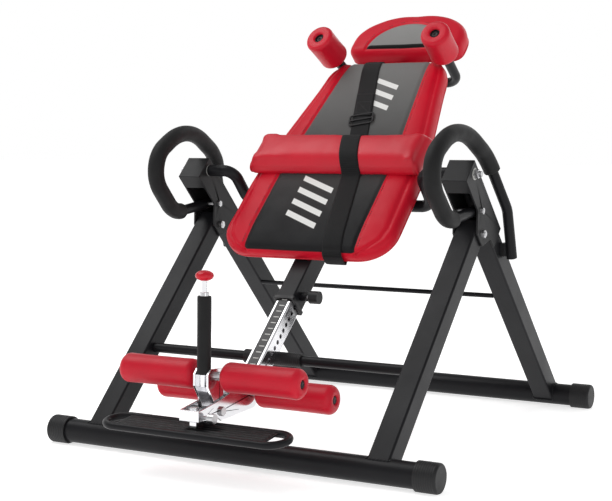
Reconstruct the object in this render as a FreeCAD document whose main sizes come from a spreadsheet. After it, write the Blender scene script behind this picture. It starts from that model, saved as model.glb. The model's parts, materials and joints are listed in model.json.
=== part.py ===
# Inversion table: A-frame with a folding front half, tilting bed on two pivot brackets,
# sliding boom with an ankle clamp, and two looped handlebars.
# Millimetres. +X is the user's left-to-right width, -Y is the foot side,
# +Z is up, and the origin is on the floor under the middle of the whole table.
import FreeCAD, Part
import Sketcher
import math
import os
from FreeCAD import Placement, Rotation, Vector

doc = FreeCAD.newDocument("InversionTable")

# ---------------------------------------------------------------- driving dimensions
SIZES = {
    "OriginShift": 74.97,       # moves the frame so that the origin is under its middle
    # base tubes and legs
    "BaseRadius": 24.0, "BaseWall": 1.8, "BaseHeight": 26.0,
    "CapRadius": 28.0, "CapLength": 44.0, "CapDepth": 38.0,
    "FrontBaseLength": 848.0, "RearBaseLength": 828.0,
    "LegSize": 45.0, "LegWall": 2.0, "LegOffset": 312.0, "LegLean": 45.0,
    "FrontLegLine": 467.0,      # front legs follow y = z - this
    "RearLegLine": 451.5,       # rear legs follow y = this - z
    "CrossbarRadius": 10.0, "BumperRadius": 14.0, "BumperLength": 130.0,
    "StretcherRadius": 5.0, "StretcherZ": 280.0, "StretcherSet": 19.0,
    # pivot bracket, measured up the rear leg from the rear base tube
    "BracketWidth": 54.4, "BracketInner": 46.4, "BracketTop": 748.0, "BracketBottom": 545.0,
    "RearLegTop": 592.0, "HingeOut": 48.0, "LegOverHinge": 16.0,
    "HingeBoltRadius": 5.0, "PivotRadius": 6.0, "PivotBushRadius": 9.0, "RunningGap": 0.06,
    # bed, measured from the pivot: Y along the bed to the head, Z out of the cushion
    "PivotY": -85.0, "PivotZ": 546.0, "BedAngle": 44.0,
    "RestTurn": -1.2,           # from the angle the bed is drawn at to the angle it rests at
    "BoomWidth": 40.0, "BoomDepth": 48.0, "BoomWall": 2.0, "BoomCentre": -95.0,
    "BoomTop": 400.0, "BoomEnd": -282.0,
    "InnerWidth": 34.0, "InnerDepth": 42.0, "InnerTop": -100.0, "InnerEnd": -530.0,
    "HolePitch": 15.0, "HoleRadius": 4.6, "PinRadius": 4.0, "PinPlace": -262.0,
    "CrossbarPlace": -395.0, "BoomRestGap": 0.5,
    "ArmRadius": 12.5, "ArmWall": 2.0, "ArmDrop": 222.0, "ArmBend": 28.0,
    "CushionTop": -34.0, "BoardTop": -64.0, "BoardUnder": -71.0,
    "CushionHalf": 200.0, "CushionHead": 405.0, "CushionFoot": -190.0,
    "LumbarHalf": 210.0, "LumbarPlace": 74.0, "LumbarWidth": 108.0, "LumbarHeight": 46.0,
    "HeadTop": -50.0, "HeadUnder": -90.0, "HeadBoardUnder": -96.0,
    "HeadHalf": 140.0, "HeadLow": 454.0, "HeadHigh": 592.0,
    "ShoulderPlace": 400.0, "ShoulderOut": 138.0, "ShoulderTube": 11.0,
    "ShoulderLean": 16.0, "ShoulderSplay": 4.0,
    "ShoulderPadRadius": 33.0, "ShoulderPadLength": 84.0, "ShoulderPadLow": -22.0,
    "StrapWidth": 44.0, "StrapThick": 2.0,
    # ankle clamp and foot rest, from the floor and the un-shifted frame
    "AxleRadius": 8.0, "RollerRadius": 28.0, "RollerLength": 165.0, "RollerStart": 30.0,
    "RearAxleY": -382.0, "RearAxleZ": 127.0, "ClampY": -500.0, "ClampZ": 108.0,
    "FrontAxleY": -503.0, "FrontAxleZ": 172.6, "LeverY": -527.0,
    "LeverBase": 155.0, "LeverTop": 328.0, "GripLow": 178.0, "GripHigh": 321.0,
    "FootY": -555.0, "FootZ": 80.0, "FootTilt": 8.0, "FootHalf": 200.0, "FootWidth": 78.0,
    "FootPinZ": 104.0, "FootTravel": 10.0, "BlockLow": 98.0, "BlockHigh": 118.0,
    # handlebars
    "HandleRadius": 11.0, "HandleWall": 1.8, "GripRadius": 17.0,
}

sheet = doc.addObject("Spreadsheet::Sheet", "Sizes")
for row, (alias, value) in enumerate(SIZES.items(), start=1):
    sheet.set("A%d" % row, alias)
    sheet.set("B%d" % row, str(value))
    sheet.setAlias("B%d" % row, alias)
doc.recompute()


def size(alias):
    """The value of one cell of the sheet."""
    return float(getattr(sheet, alias))


SHIFT = size("OriginShift")
NODES = []


def node(obj, label, place=None):
    """Name a finished sub-part and carry it, as it lies, to its place."""
    obj.Label = label
    if place is not None:
        doc.recompute()
        obj.Placement = place * obj.Placement
    NODES.append(obj)
    return obj


def moved(x, y, z, angle=0.0):
    """A placement at a point of the un-shifted frame, turned about X."""
    return Placement(Vector(x, y + SHIFT, z), Rotation(Vector(1, 0, 0), angle))


BED = moved(0, size("PivotY"), size("PivotZ"), size("BedAngle"))
BASE_Z = size("BaseHeight")
FRONT_BASE_Y = BASE_Z - size("FrontLegLine")
REAR_BASE_Y = size("RearLegLine") - BASE_Z
FRONT_LEG = moved(0, FRONT_BASE_Y, BASE_Z, size("LegLean"))
REAR_LEG = moved(0, REAR_BASE_Y, BASE_Z, 180.0 - size("LegLean"))


def at(frame, x, y, z, turn=0.0):
    """A placement at a point of a tilted frame, with a further turn about X."""
    return frame * Placement(Vector(x, y, z), Rotation(Vector(1, 0, 0), turn))


# ---------------------------------------------------------------- helpers for the tree
def origin_plane(body, role):
    """One of a body's own origin planes."""
    for feature in body.Origin.OriginFeatures:
        if feature.Role == role:
            return feature
    raise RuntimeError(role)


def new_sketch(body, name, role="YZ_Plane"):
    """A sketch on one of the body's origin planes. On YZ_Plane, sketch x, y are local Y, Z."""
    sketch = body.newObject("Sketcher::SketchObject", name)
    sketch.AttachmentSupport = (origin_plane(body, role), [""])
    sketch.MapMode = "FlatFace"
    return sketch


def add_circle(sketch, expression, x=0.0, y=0.0):
    """A circle whose radius follows the sheet."""
    circle = Part.Circle(Vector(x, y, 0), Vector(0, 0, 1), 10.0)
    index = sketch.addGeometry(circle, False)
    sketch.addConstraint(Sketcher.Constraint("DistanceX", -1, 1, index, 3, x))
    sketch.addConstraint(Sketcher.Constraint("DistanceY", -1, 1, index, 3, y))
    constraint = sketch.addConstraint(Sketcher.Constraint("Radius", index, 10.0))
    sketch.setExpression("Constraints[%d]" % constraint, expression)
    return index


def add_outline(sketch, points):
    """A closed outline of straight lines."""
    for start, end in zip(points, points[1:] + points[:1]):
        sketch.addGeometry(Part.LineSegment(Vector(*start, 0), Vector(*end, 0)), False)


def pad(body, sketch, expression):
    """Extrude a sketch to both sides by a length from the sheet."""
    feature = body.newObject("PartDesign::Pad", "Pad")
    feature.Profile = sketch
    feature.SideType = "Symmetric"
    feature.setExpression("Length", expression)
    return feature


def pocket(body, sketch, expression):
    """Cut a sketch to both sides, and check that it removed material."""
    doc.recompute()
    before = body.Shape.Volume
    feature = body.newObject("PartDesign::Pocket", "Pocket")
    feature.Profile = sketch
    feature.SideType = "Symmetric"
    feature.setExpression("Length", expression)
    doc.recompute()
    if body.Shape.Volume >= before - 1.0:
        raise RuntimeError("pocket in %s cuts nothing" % body.Name)
    return feature


def cylinder_x(name, radius, length, x=0.0, y=0.0, z=0.0, centred=True):
    """A cylinder along X. Radius and length are expressions on the sheet."""
    obj = doc.addObject("Part::Cylinder", name)
    obj.setExpression("Radius", radius)
    obj.setExpression("Height", length)
    doc.recompute()
    start = x - obj.Height.Value / 2.0 if centred else x
    obj.Placement = Placement(Vector(start, y, z), Rotation(Vector(0, 1, 0), 90))
    return obj


def box(name, length, width, height, corner):
    """A box whose three sizes are expressions, from one corner."""
    obj = doc.addObject("Part::Box", name)
    obj.setExpression("Length", length)
    obj.setExpression("Width", width)
    obj.setExpression("Height", height)
    obj.Placement = Placement(Vector(*corner), Rotation())
    return obj


def cut(name, base, tool):
    """Base minus tool."""
    obj = doc.addObject("Part::Cut", name)
    obj.Base = base
    obj.Tool = tool
    return obj


def fuse(name, shapes):
    """One solid from several."""
    obj = doc.addObject("Part::MultiFuse", name)
    obj.Shapes = shapes
    return obj


def group(name, shapes):
    """Several separate solids in one node."""
    obj = doc.addObject("Part::Compound", name)
    obj.Links = shapes
    return obj


def mirrored(name, source):
    """The same piece on the other side of the table."""
    obj = doc.addObject("Part::Mirroring", name)
    obj.Source = source
    obj.Base = Vector(0, 0, 0)
    obj.Normal = Vector(1, 0, 0)
    return obj


def feature(name, shape):
    """A shape made directly, for bent tubes and other pieces no primitive fits."""
    obj = doc.addObject("Part::Feature", name)
    obj.Shape = shape
    return obj


def bent_path(points, radii):
    """Straight runs joined by tangent arcs."""
    corners = [Vector(*point) for point in points]
    edges = []
    start = corners[0]
    for before, corner, after, radius in zip(corners, corners[1:], corners[2:], radii):
        back = (before - corner).normalize()
        ahead = (after - corner).normalize()
        half_turn = math.acos(max(-1.0, min(1.0, back.dot(ahead)))) / 2.0
        reach = radius / math.tan(half_turn)
        arc_start = corner + back * reach
        arc_end = corner + ahead * reach
        centre_way = (back + ahead).normalize()
        middle = corner + centre_way * (radius / math.sin(half_turn) - radius)
        edges.append(Part.LineSegment(start, arc_start).toShape())
        edges.append(Part.Arc(arc_start, middle, arc_end).toShape())
        start = arc_end
    edges.append(Part.LineSegment(start, corners[-1]).toShape())
    return Part.Wire(edges)


def swept(path, radius):
    """A round bar along a path."""
    first = path.OrderedEdges[0]
    ring = Part.Circle(first.valueAt(first.FirstParameter), first.tangentAt(first.FirstParameter), radius)
    return path.makePipeShell([Part.Wire([ring.toShape()])], True, False)


def swept_tube(path, radius, wall):
    """A round tube along a path."""
    return swept(path, radius).cut(swept(path, radius - wall))


def both_sides(maker, name):
    """Make a left and a right piece: right is +X."""
    for side, word in ((1, "right"), (-1, "left")):
        maker(side, "%s_%s" % (name, word))


# ---------------------------------------------------------------- base tubes and end caps
def base_tube(name, y, length):
    """Round base tube along X."""
    body = doc.addObject("PartDesign::Body", name)
    sketch = new_sketch(body, name + "Ring")
    add_circle(sketch, "Sizes.BaseRadius")
    add_circle(sketch, "Sizes.BaseRadius - Sizes.BaseWall")
    pad(body, sketch, length)
    node(body, name, moved(0, y, BASE_Z))


def end_caps(name, y, length):
    """Two rubber caps that slip over a base tube, each with a flat sole on the floor."""
    outer = cylinder_x(name + "Outer", "Sizes.CapRadius", "Sizes.CapLength", centred=False)
    bore = cylinder_x(name + "Bore", "Sizes.BaseRadius", "Sizes.CapDepth", centred=False)
    cup = cut(name + "Cup", outer, bore)
    doc.recompute()
    far_edge = [number for number, edge in enumerate(cup.Shape.Edges, start=1)
                if edge.Closed and abs(edge.CenterOfMass.x - size("CapLength")) < 0.01]
    dome = doc.addObject("Part::Fillet", name + "Dome")
    dome.Base = cup
    dome.Edges = [(far_edge[0], 5.0, 5.0)]
    ground = box(name + "Ground", "60", "80", "20", (-5, -40, -size("BaseHeight") - 20))
    cap = cut(name + "Cap", dome, ground)
    cap.Placement = moved(length / 2.0 - size("CapDepth"), y, BASE_Z)
    node(group(name, [cap, mirrored(name + "Mirror", cap)]), name)


base_tube("front_base_tube", FRONT_BASE_Y, "Sizes.FrontBaseLength")
base_tube("rear_base_tube", REAR_BASE_Y, "Sizes.RearBaseLength")
end_caps("front_end_caps", FRONT_BASE_Y, size("FrontBaseLength"))
end_caps("rear_end_caps", REAR_BASE_Y, size("RearBaseLength"))


# ---------------------------------------------------------------- legs
# the two legs stand square to each other, so the front leg's line fixes the hinge's height
HINGE_UP = (size("FrontLegLine") + size("RearLegLine") - 2 * BASE_Z) / math.sqrt(2.0)
HINGE_FRAME = at(REAR_LEG, 0, HINGE_UP, size("HingeOut"))
FRONT_HINGE_UP = FRONT_LEG.inverse().multVec(HINGE_FRAME.Base).y


def round_long_edges(name, bar, radius):
    """Round the four long edges of a box that runs along Y."""
    doc.recompute()
    long_edges = [number for number, edge in enumerate(bar.Shape.Edges, start=1)
                  if abs(edge.Vertexes[0].Y - edge.Vertexes[-1].Y) > 1.0]
    rounded = doc.addObject("Part::Fillet", name)
    rounded.Base = bar
    rounded.Edges = [(number, radius, radius) for number in long_edges]
    return rounded


def square_leg(name, x, length):
    """Square tube whose foot is shaped to the base tube."""
    half = size("LegSize") / 2.0
    inner = half - size("LegWall")
    outside = box(name + "Outside", "Sizes.LegSize", "%f" % length, "Sizes.LegSize",
                  (x - half, 0, -half))
    outside = round_long_edges(name + "Rounded", outside, 4.0)
    inside = box(name + "Inside", "Sizes.LegSize - 2 * Sizes.LegWall", "%f" % (length + 2.0),
                 "Sizes.LegSize - 2 * Sizes.LegWall", (x - inner, -1, -inner))
    saddle = cylinder_x(name + "Saddle", "Sizes.BaseRadius", "2 * Sizes.LegSize", x=x)
    tube = cut(name + "Tube", cut(name + "Hollow", outside, inside), saddle)
    return tube


def rear_leg(side, name):
    """Rear leg, which carries the pivot bracket."""
    tube = square_leg(name, side * size("LegOffset"), size("RearLegTop"))
    node(tube, name, REAR_LEG)


def front_leg(side, name):
    """Front leg with the hole for its hinge sleeve."""
    x = side * size("LegOffset")
    tube = square_leg(name, x, FRONT_HINGE_UP + size("LegOverHinge"))
    hole = cylinder_x(name + "Hole", "Sizes.HingeBoltRadius + 3", "Sizes.LegSize + 4",
                      x=x, y=FRONT_HINGE_UP)
    node(cut(name, tube, hole), name, FRONT_LEG)


both_sides(rear_leg, "rear_leg")
both_sides(front_leg, "front_leg")


def hinge_parts():
    """Sleeves in the front legs, and the bolts that the front frame folds about."""
    sleeves = []
    bolts = []
    for side, word in ((1, "Right"), (-1, "Left")):
        x = side * size("LegOffset")
        outer = cylinder_x("Sleeve" + word, "Sizes.HingeBoltRadius + 3", "Sizes.LegSize + 0.8", x=x)
        bore = cylinder_x("SleeveBore" + word, "Sizes.HingeBoltRadius + Sizes.RunningGap", "60", x=x)
        sleeves.append(cut("SleeveRing" + word, outer, bore))
        shank = cylinder_x("BoltShank" + word, "Sizes.HingeBoltRadius", "Sizes.BracketWidth + 16", x=x)
        head = hexagon("BoltHead" + word, 8.5, 6.0, x + side * size("BracketWidth") / 2.0, side)
        nut = hexagon("BoltNut" + word, 8.5, 7.0, x - side * size("BracketWidth") / 2.0, -side)
        bolts.append(fuse("HingeBolt" + word, [shank, head, nut]))
    node(group("leg_hinge_sleeves", sleeves), "leg_hinge_sleeves", HINGE_FRAME)
    node(group("leg_hinge_bolts", bolts), "leg_hinge_bolts", HINGE_FRAME)


def hexagon(name, radius, thick, x, direction, y=0.0, z=0.0):
    """A hexagonal head or nut that stands out from a face, along +X or -X."""
    obj = doc.addObject("Part::Prism", name)
    obj.Polygon = 6
    obj.Circumradius = radius
    obj.Height = thick
    obj.Placement = Placement(Vector(x, y, z), Rotation(Vector(0, 1, 0), 90 * direction))
    return obj


hinge_parts()


def leg_plugs():
    """Plastic plugs in the open tops of the front legs."""
    plugs = []
    across = size("LegSize") - 2 * size("LegWall")
    top = FRONT_HINGE_UP + size("LegOverHinge")
    for side, word in ((1, "Right"), (-1, "Left")):
        x = side * size("LegOffset")
        plugs.append(box("Plug" + word, "Sizes.LegSize - 2 * Sizes.LegWall", "6",
                         "Sizes.LegSize - 2 * Sizes.LegWall", (x - across / 2, top - 6, -across / 2)))
    node(group("front_leg_plugs", plugs), "front_leg_plugs", FRONT_LEG)


leg_plugs()


# ---------------------------------------------------------------- cross members
INNER_FACE = 2 * (size("LegOffset") - size("LegSize") / 2.0)


def crossbar():
    """Bar between the front legs with the rubber sleeve that the boom rests on."""
    depth = size("BoomCentre") - size("InnerDepth") / 2 - size("BoomRestGap") - size("BumperRadius")
    place = at(BED, 0, size("CrossbarPlace"), depth)
    place = Placement(place.Base, Rotation())
    bar = cylinder_x("crossbar", "Sizes.CrossbarRadius", "%f" % INNER_FACE)
    node(bar, "crossbar", place)
    sleeve = cylinder_x("BumperOuter", "Sizes.BumperRadius", "Sizes.BumperLength")
    bore = cylinder_x("BumperBore", "Sizes.CrossbarRadius", "Sizes.BumperLength + 2")
    node(cut("crossbar_bumper", sleeve, bore), "crossbar_bumper", place)


def stretcher():
    """Thin rod between the rear legs, which also stops the inverted bed."""
    rod = cylinder_x("rear_stretcher", "Sizes.StretcherRadius", "%f" % INNER_FACE)
    y = size("RearLegLine") - size("StretcherZ") - size("StretcherSet") * math.sqrt(2.0)
    node(rod, "rear_stretcher", moved(0, y, size("StretcherZ")))


crossbar()
stretcher()


# ---------------------------------------------------------------- pivot brackets
PIVOT_LOCAL = REAR_LEG.inverse().multVec(BED.Base)
HANDLE_BOLT = (650.0, 19.4)


def pivot_bracket(side, name):
    """Folded channel on the top of a rear leg: bed pivot above, front leg hinge below."""
    body = doc.addObject("PartDesign::Body", name)
    top = size("BracketTop")
    low = size("BracketBottom")
    rear = -(size("LegSize") / 2.0)
    plate = 4.0
    outline = new_sketch(body, name + "Outline")
    add_outline(outline, [(low, rear - plate), (top, rear - plate), (top, 31), (HINGE_UP + 50, 31),
                          (HINGE_UP + 18, 66), (HINGE_UP - 18, 66), (HINGE_UP - 42, 26), (low, 26)])
    pad(body, outline, "Sizes.BracketWidth")
    channel = new_sketch(body, name + "Channel")
    add_outline(channel, [(low - 5, rear), (top - plate, rear), (top - plate, 31 - plate),
                          (712, 31 - plate), (712, 80), (low - 5, 80)])
    pocket(body, channel, "Sizes.BracketInner")
    holes = new_sketch(body, name + "Holes")
    add_circle(holes, "Sizes.PivotBushRadius", PIVOT_LOCAL.y, PIVOT_LOCAL.z)
    add_circle(holes, "Sizes.HingeBoltRadius", HINGE_UP, size("HingeOut"))
    add_circle(holes, "4", *HANDLE_BOLT)
    pocket(body, holes, "Sizes.BracketWidth + 4")
    node(body, name, at(REAR_LEG, side * size("LegOffset"), 0, 0))


def pivot_bushes():
    """Four flanged nylon bushes, one in each bracket wall."""
    rings = []
    for side in (1, -1):
        for wall in (1, -1):
            x = side * size("LegOffset") + wall * (size("BracketWidth") + size("BracketInner")) / 4.0
            tag = "%d" % len(rings)
            ring = cylinder_x("Bush" + tag, "Sizes.PivotBushRadius", "4", x=x)
            face = side * size("LegOffset") + wall * (size("BracketWidth") / 2.0 + 0.6)
            flange = cylinder_x("BushFlange" + tag, "Sizes.PivotBushRadius + 3", "1.2", x=face)
            bore = cylinder_x("BushBore" + tag, "Sizes.PivotRadius + Sizes.RunningGap", "20", x=x)
            rings.append(cut("BushRing" + tag, fuse("BushBody" + tag, [ring, flange]), bore))
    place = Placement(BED.Base, Rotation())
    node(group("pivot_bushes", rings), "pivot_bushes", place)


both_sides(pivot_bracket, "pivot_bracket")
pivot_bushes()


# ---------------------------------------------------------------- handlebars
HANDLE_POINTS = [(322, -34, 472), (319, -172, 456), (316, -275, 560), (318, -122, 648),
                 (328, 5, 578), (351, 62, 470), (351, 92, 368)]
HANDLE_BENDS = [60.0, 58.0, 145.0, 110.0, 70.0]


def handle_path(side):
    """The bent centre line of one handlebar."""
    points = [(side * x, y + SHIFT, z) for x, y, z in HANDLE_POINTS]
    return bent_path(points, HANDLE_BENDS)


def handlebar(side, name):
    """Looped tube from inside the bracket round to the outside of the rear leg."""
    tube = swept_tube(handle_path(side), size("HandleRadius"), size("HandleWall"))
    bolt = REAR_LEG.multVec(Vector(side * size("LegOffset"), *HANDLE_BOLT))
    hole = Part.makeCylinder(4.0, 60.0, bolt - Vector(30, 0, 0), Vector(1, 0, 0))
    node(feature(name, tube.cut(hole)), name)


def handle_grip(side, name):
    """Foam sleeve over the bent part of a handlebar."""
    edges = handle_path(side).OrderedEdges
    foam_path = Part.Wire(edges[1:8])
    foam = size("GripRadius") - size("HandleRadius")
    node(feature(name, swept_tube(foam_path, size("GripRadius"), foam)), name)


def handle_saddles():
    """Two shaped blocks that hold the lower ends of the handlebars off the rear legs."""
    blocks = []
    for side, word in ((1, "Right"), (-1, "Left")):
        x = side * (size("LegOffset") + size("LegSize") / 2.0)
        corner = (min(x, x + side * 10.0), 66.0 + SHIFT, 372.0)
        block = box("SaddleBlock" + word, "10", "28", "28", corner)
        tube = feature("SaddleRelief" + word, swept(handle_path(side), size("HandleRadius")))
        blocks.append(cut("Saddle" + word, block, tube))
    node(group("handlebar_saddles", blocks), "handlebar_saddles")


def handle_bolts():
    """Bolts through the brackets, and domed bolts on the saddles."""
    bolts = []
    for side, word in ((1, "Right"), (-1, "Left")):
        local = Vector(side * size("LegOffset"), *HANDLE_BOLT)
        place = REAR_LEG.multVec(local)
        shank = cylinder_x("HandleShank" + word, "4", "Sizes.BracketWidth + 12", x=place.x,
                           y=place.y, z=place.z)
        head = hexagon("HandleHead" + word, 7.0, 5.0, place.x + side * size("BracketWidth") / 2.0,
                       side, place.y, place.z)
        nut = hexagon("HandleNut" + word, 7.0, 5.0, place.x - side * size("BracketWidth") / 2.0,
                      -side, place.y, place.z)
        bolts.append(fuse("HandleBolt" + word, [shank, head, nut]))
    node(group("handlebar_bolts", bolts), "handlebar_bolts")


both_sides(handlebar, "handlebar")
both_sides(handle_grip, "handlebar_grip")
handle_saddles()
handle_bolts()


# ---------------------------------------------------------------- bed frame
def rect_tube(name, width, depth, start, end):
    """Rectangular tube along the bed, centred on the boom's line."""
    depth_value = size(depth)
    width_value = size(width)
    length = end - start
    low = size("BoomCentre") - depth_value / 2.0
    outside = box(name + "Outside", "Sizes." + width, "%f" % length, "Sizes." + depth,
                  (-width_value / 2.0, start, low))
    outside = round_long_edges(name + "Rounded", outside, 3.0)
    inside = box(name + "Inside", "Sizes.%s - 2 * Sizes.BoomWall" % width, "%f" % (length + 2.0),
                 "Sizes.%s - 2 * Sizes.BoomWall" % depth,
                 (-width_value / 2.0 + size("BoomWall"), start - 1.0, low + size("BoomWall")))
    return cut(name + "Tube", outside, inside)


def boom_outer():
    """Spine of the bed: a rectangular tube with the welded housing of the height pin."""
    tube = rect_tube("boom_outer", "BoomWidth", "BoomDepth", size("BoomEnd"), size("BoomTop"))
    face = size("BoomWidth") / 2.0
    housing = cylinder_x("PinHousing", "9", "14", x=face, y=size("PinPlace"), z=size("BoomCentre"),
                         centred=False)
    hole = cylinder_x("BoomPinHole", "Sizes.PinRadius + Sizes.RunningGap", "40",
                      x=face - 5.0, y=size("PinPlace"), z=size("BoomCentre"), centred=False)
    node(cut("boom_outer", fuse("BoomWithHousing", [tube, housing]), hole), "boom_outer", BED)


def boom_collar():
    """Plastic collar round the end of the outer tube."""
    wide = size("BoomWidth") + 6.0
    deep = size("BoomDepth") + 4.0
    start = size("BoomEnd") - 8.0
    centre = size("BoomCentre")
    outside = box("CollarOutside", "Sizes.BoomWidth + 6", "8", "Sizes.BoomDepth + 4",
                  (-wide / 2.0, start, centre - deep / 2.0))
    inside = box("CollarInside", "Sizes.InnerWidth + 1.2", "12", "Sizes.InnerDepth + 2",
                 (-(size("InnerWidth") + 1.2) / 2.0, start - 2.0, centre - (size("InnerDepth") + 2.0) / 2.0))
    node(cut("boom_collar", outside, inside), "boom_collar", BED)


def boom_arm(side, name):
    """Bent tube from the side of the boom, round the cushion and up to the pivot."""
    low = size("BoomCentre")
    drop = side * size("ArmDrop")
    inner = side * size("BoomWidth") / 2.0
    outer = side * (size("LegOffset") - size("BracketWidth") / 2.0 - 2.5)
    path = bent_path([(inner, 0, low), (drop, 0, low), (drop, 0, 0), (outer, 0, 0)],
                     [size("ArmBend"), size("ArmBend") - 3.0])
    node(feature(name, swept_tube(path, size("ArmRadius"), size("ArmWall"))), name, BED)


def pivot_pins():
    """Two pivot pins pressed into the arms, each with its nut outside the bracket."""
    pins = []
    end = size("LegOffset") - size("BracketWidth") / 2.0
    for side, word in ((1, "Right"), (-1, "Left")):
        plug = cylinder_x("PinPlug" + word, "Sizes.ArmRadius - Sizes.ArmWall", "24", x=side * (end - 15.0))
        shaft = cylinder_x("PinShaft" + word, "Sizes.PivotRadius", "90", x=side * (end + 25.0))
        nut_face = side * (size("LegOffset") + size("BracketWidth") / 2.0 + 2.0)
        nut = hexagon("PinNut" + word, 9.5, 7.0, nut_face, side)
        pins.append(fuse("PivotPin" + word, [plug, shaft, nut]))
    node(group("pivot_pins", pins), "pivot_pins", BED)


boom_outer()
boom_collar()
both_sides(boom_arm, "pivot_arm")
pivot_pins()


# ---------------------------------------------------------------- boards and cushions
def flat_piece(name, outline, top, under, fillet=0.0):
    """A flat piece in the bed's plane between two heights, with rounded upright corners."""
    face = Part.Face(outline)
    solid = face.extrude(Vector(0, 0, top - under))
    if fillet > 0.0:
        rim = [edge for edge in solid.Edges
               if all(abs(vertex.Z - (top - under)) < 0.01 for vertex in edge.Vertexes)]
        solid = solid.makeFillet(fillet, rim)
    solid.translate(Vector(0, 0, under))
    return node(feature(name, solid), name, BED)


def back_outline(inset=0.0):
    """Outline of the back cushion: rounded foot corners, waist and cut head corners."""
    half = size("CushionHalf") - inset
    foot = size("CushionFoot") + inset
    head = size("CushionHead") - inset
    corner = 70.0
    right = [(half - corner, foot), (half, foot + corner), (half, 40.0), (half - 41.0, 290.0),
             (half - 52.0, head - 42.0), (half - 82.0, head)]
    points = right + [(-x, y) for x, y in reversed(right)]
    lines = [(Vector(*a, 0), Vector(*b, 0)) for a, b in zip(points, points[1:] + points[:1])]
    swell = corner * (1.0 - math.sqrt(0.5))
    edges = []
    for number, (start, end) in enumerate(lines):
        if number in (0, len(lines) - 2):
            side = 1.0 if number == 0 else -1.0
            middle = Vector(side * (half - swell), foot + swell, 0)
            edges.append(Part.Arc(start, middle, end).toShape())
        else:
            edges.append(Part.LineSegment(start, end).toShape())
    return Part.Wire(Part.__sortEdges__(edges))


def head_outline(inset=0.0):
    """D-shaped outline of the head cushion, flat on the side of the shoulders."""
    half = size("HeadHalf") - inset
    low = size("HeadLow") + inset
    high = size("HeadHigh") - inset
    side_top = low + 50.0
    edges = [Part.LineSegment(Vector(-half + 22, low, 0), Vector(half - 22, low, 0)).toShape(),
             Part.Arc(Vector(half - 22, low, 0), Vector(half - 4, low + 14, 0),
                      Vector(half, side_top, 0)).toShape(),
             Part.Arc(Vector(half, side_top, 0), Vector(half - 38, high - 16, 0),
                      Vector(half - 84, high, 0)).toShape(),
             Part.LineSegment(Vector(half - 84, high, 0), Vector(84 - half, high, 0)).toShape(),
             Part.Arc(Vector(84 - half, high, 0), Vector(38 - half, high - 16, 0),
                      Vector(-half, side_top, 0)).toShape(),
             Part.Arc(Vector(-half, side_top, 0), Vector(4 - half, low + 14, 0),
                      Vector(22 - half, low, 0)).toShape()]
    return Part.Wire(Part.__sortEdges__(edges))


flat_piece("back_cushion", back_outline(), size("CushionTop"), size("BoardTop"))
flat_piece("back_board", back_outline(10.0), size("BoardTop"), size("BoardUnder"))
flat_piece("head_cushion", head_outline(), size("HeadTop"), size("HeadUnder"))
flat_piece("head_board", head_outline(12.0), size("HeadUnder"), size("HeadBoardUnder"))


def lumbar_profile(grow, base):
    """Half-round section of the lumbar pad: its ends and its crown."""
    half = size("LumbarWidth") / 2.0 + grow
    crown = size("CushionTop") + size("LumbarHeight") + grow
    middle = size("LumbarPlace")
    return Vector(0, middle - half, base), Vector(0, middle, crown), Vector(0, middle + half, base)


def lumbar_pad():
    """Half-round lumbar pad across the cushion."""
    body = doc.addObject("PartDesign::Body", "lumbar_pad")
    sketch = new_sketch(body, "LumbarSection")
    foot, crown, head = lumbar_profile(0.0, size("CushionTop"))
    ends = [Vector(point.y, point.z, 0) for point in (foot, crown, head)]
    sketch.addGeometry(Part.Arc(*ends), False)
    sketch.addGeometry(Part.LineSegment(ends[2], ends[0]), False)
    pad(body, sketch, "2 * Sizes.LumbarHalf")
    node(body, "lumbar_pad", BED)


lumbar_pad()

STRAP_BEND = (47.0, 30.0)       # where the strap's line bends, on the lumbar pad
STRAP_FOOT_SLANT = -0.15
STRAP_HEAD_SLANT = -0.243


def strap_centre(along):
    """The strap's centre line across the bed, at a place along it."""
    past = along - STRAP_BEND[1]
    return STRAP_BEND[0] + past * (STRAP_FOOT_SLANT if past < 0 else STRAP_HEAD_SLANT)


def strap():
    """Webbing that holds the lumbar pad: over the cushion and round both of its ends."""
    thick = size("StrapThick")
    low = size("CushionFoot") - 5.0
    high = size("CushionHead") + 12.0
    top = size("CushionTop")
    under = size("BoardUnder")

    def ring(grow):
        foot, crown, head = lumbar_profile(grow + 0.3, top + grow)
        corners = [Vector(0, low - grow, under - grow), Vector(0, low - grow, top + grow), foot]
        ends = [head, Vector(0, high + grow, top + grow), Vector(0, high + grow, under - grow)]
        edges = [Part.LineSegment(a, b).toShape() for a, b in zip(corners, corners[1:])]
        edges.append(Part.Arc(foot, crown, head).toShape())
        edges += [Part.LineSegment(a, b).toShape() for a, b in zip(ends, ends[1:])]
        edges.append(Part.LineSegment(ends[-1], corners[0]).toShape())
        return Part.Face(Part.Wire(edges))

    band = ring(thick).cut(ring(0.0)).extrude(Vector(400, 0, 0))
    band.translate(Vector(-200, 0, 0))
    half = size("StrapWidth") / 2.0
    places = (-450.0, STRAP_BEND[1], 450.0)
    corners = [Vector(strap_centre(place) - half, place, -200) for place in places]
    corners += [Vector(strap_centre(place) + half, place, -200) for place in reversed(places)]
    slant = Part.Face(Part.makePolygon(corners + corners[:1])).extrude(Vector(0, 0, 300))
    return band.common(slant)


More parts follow.
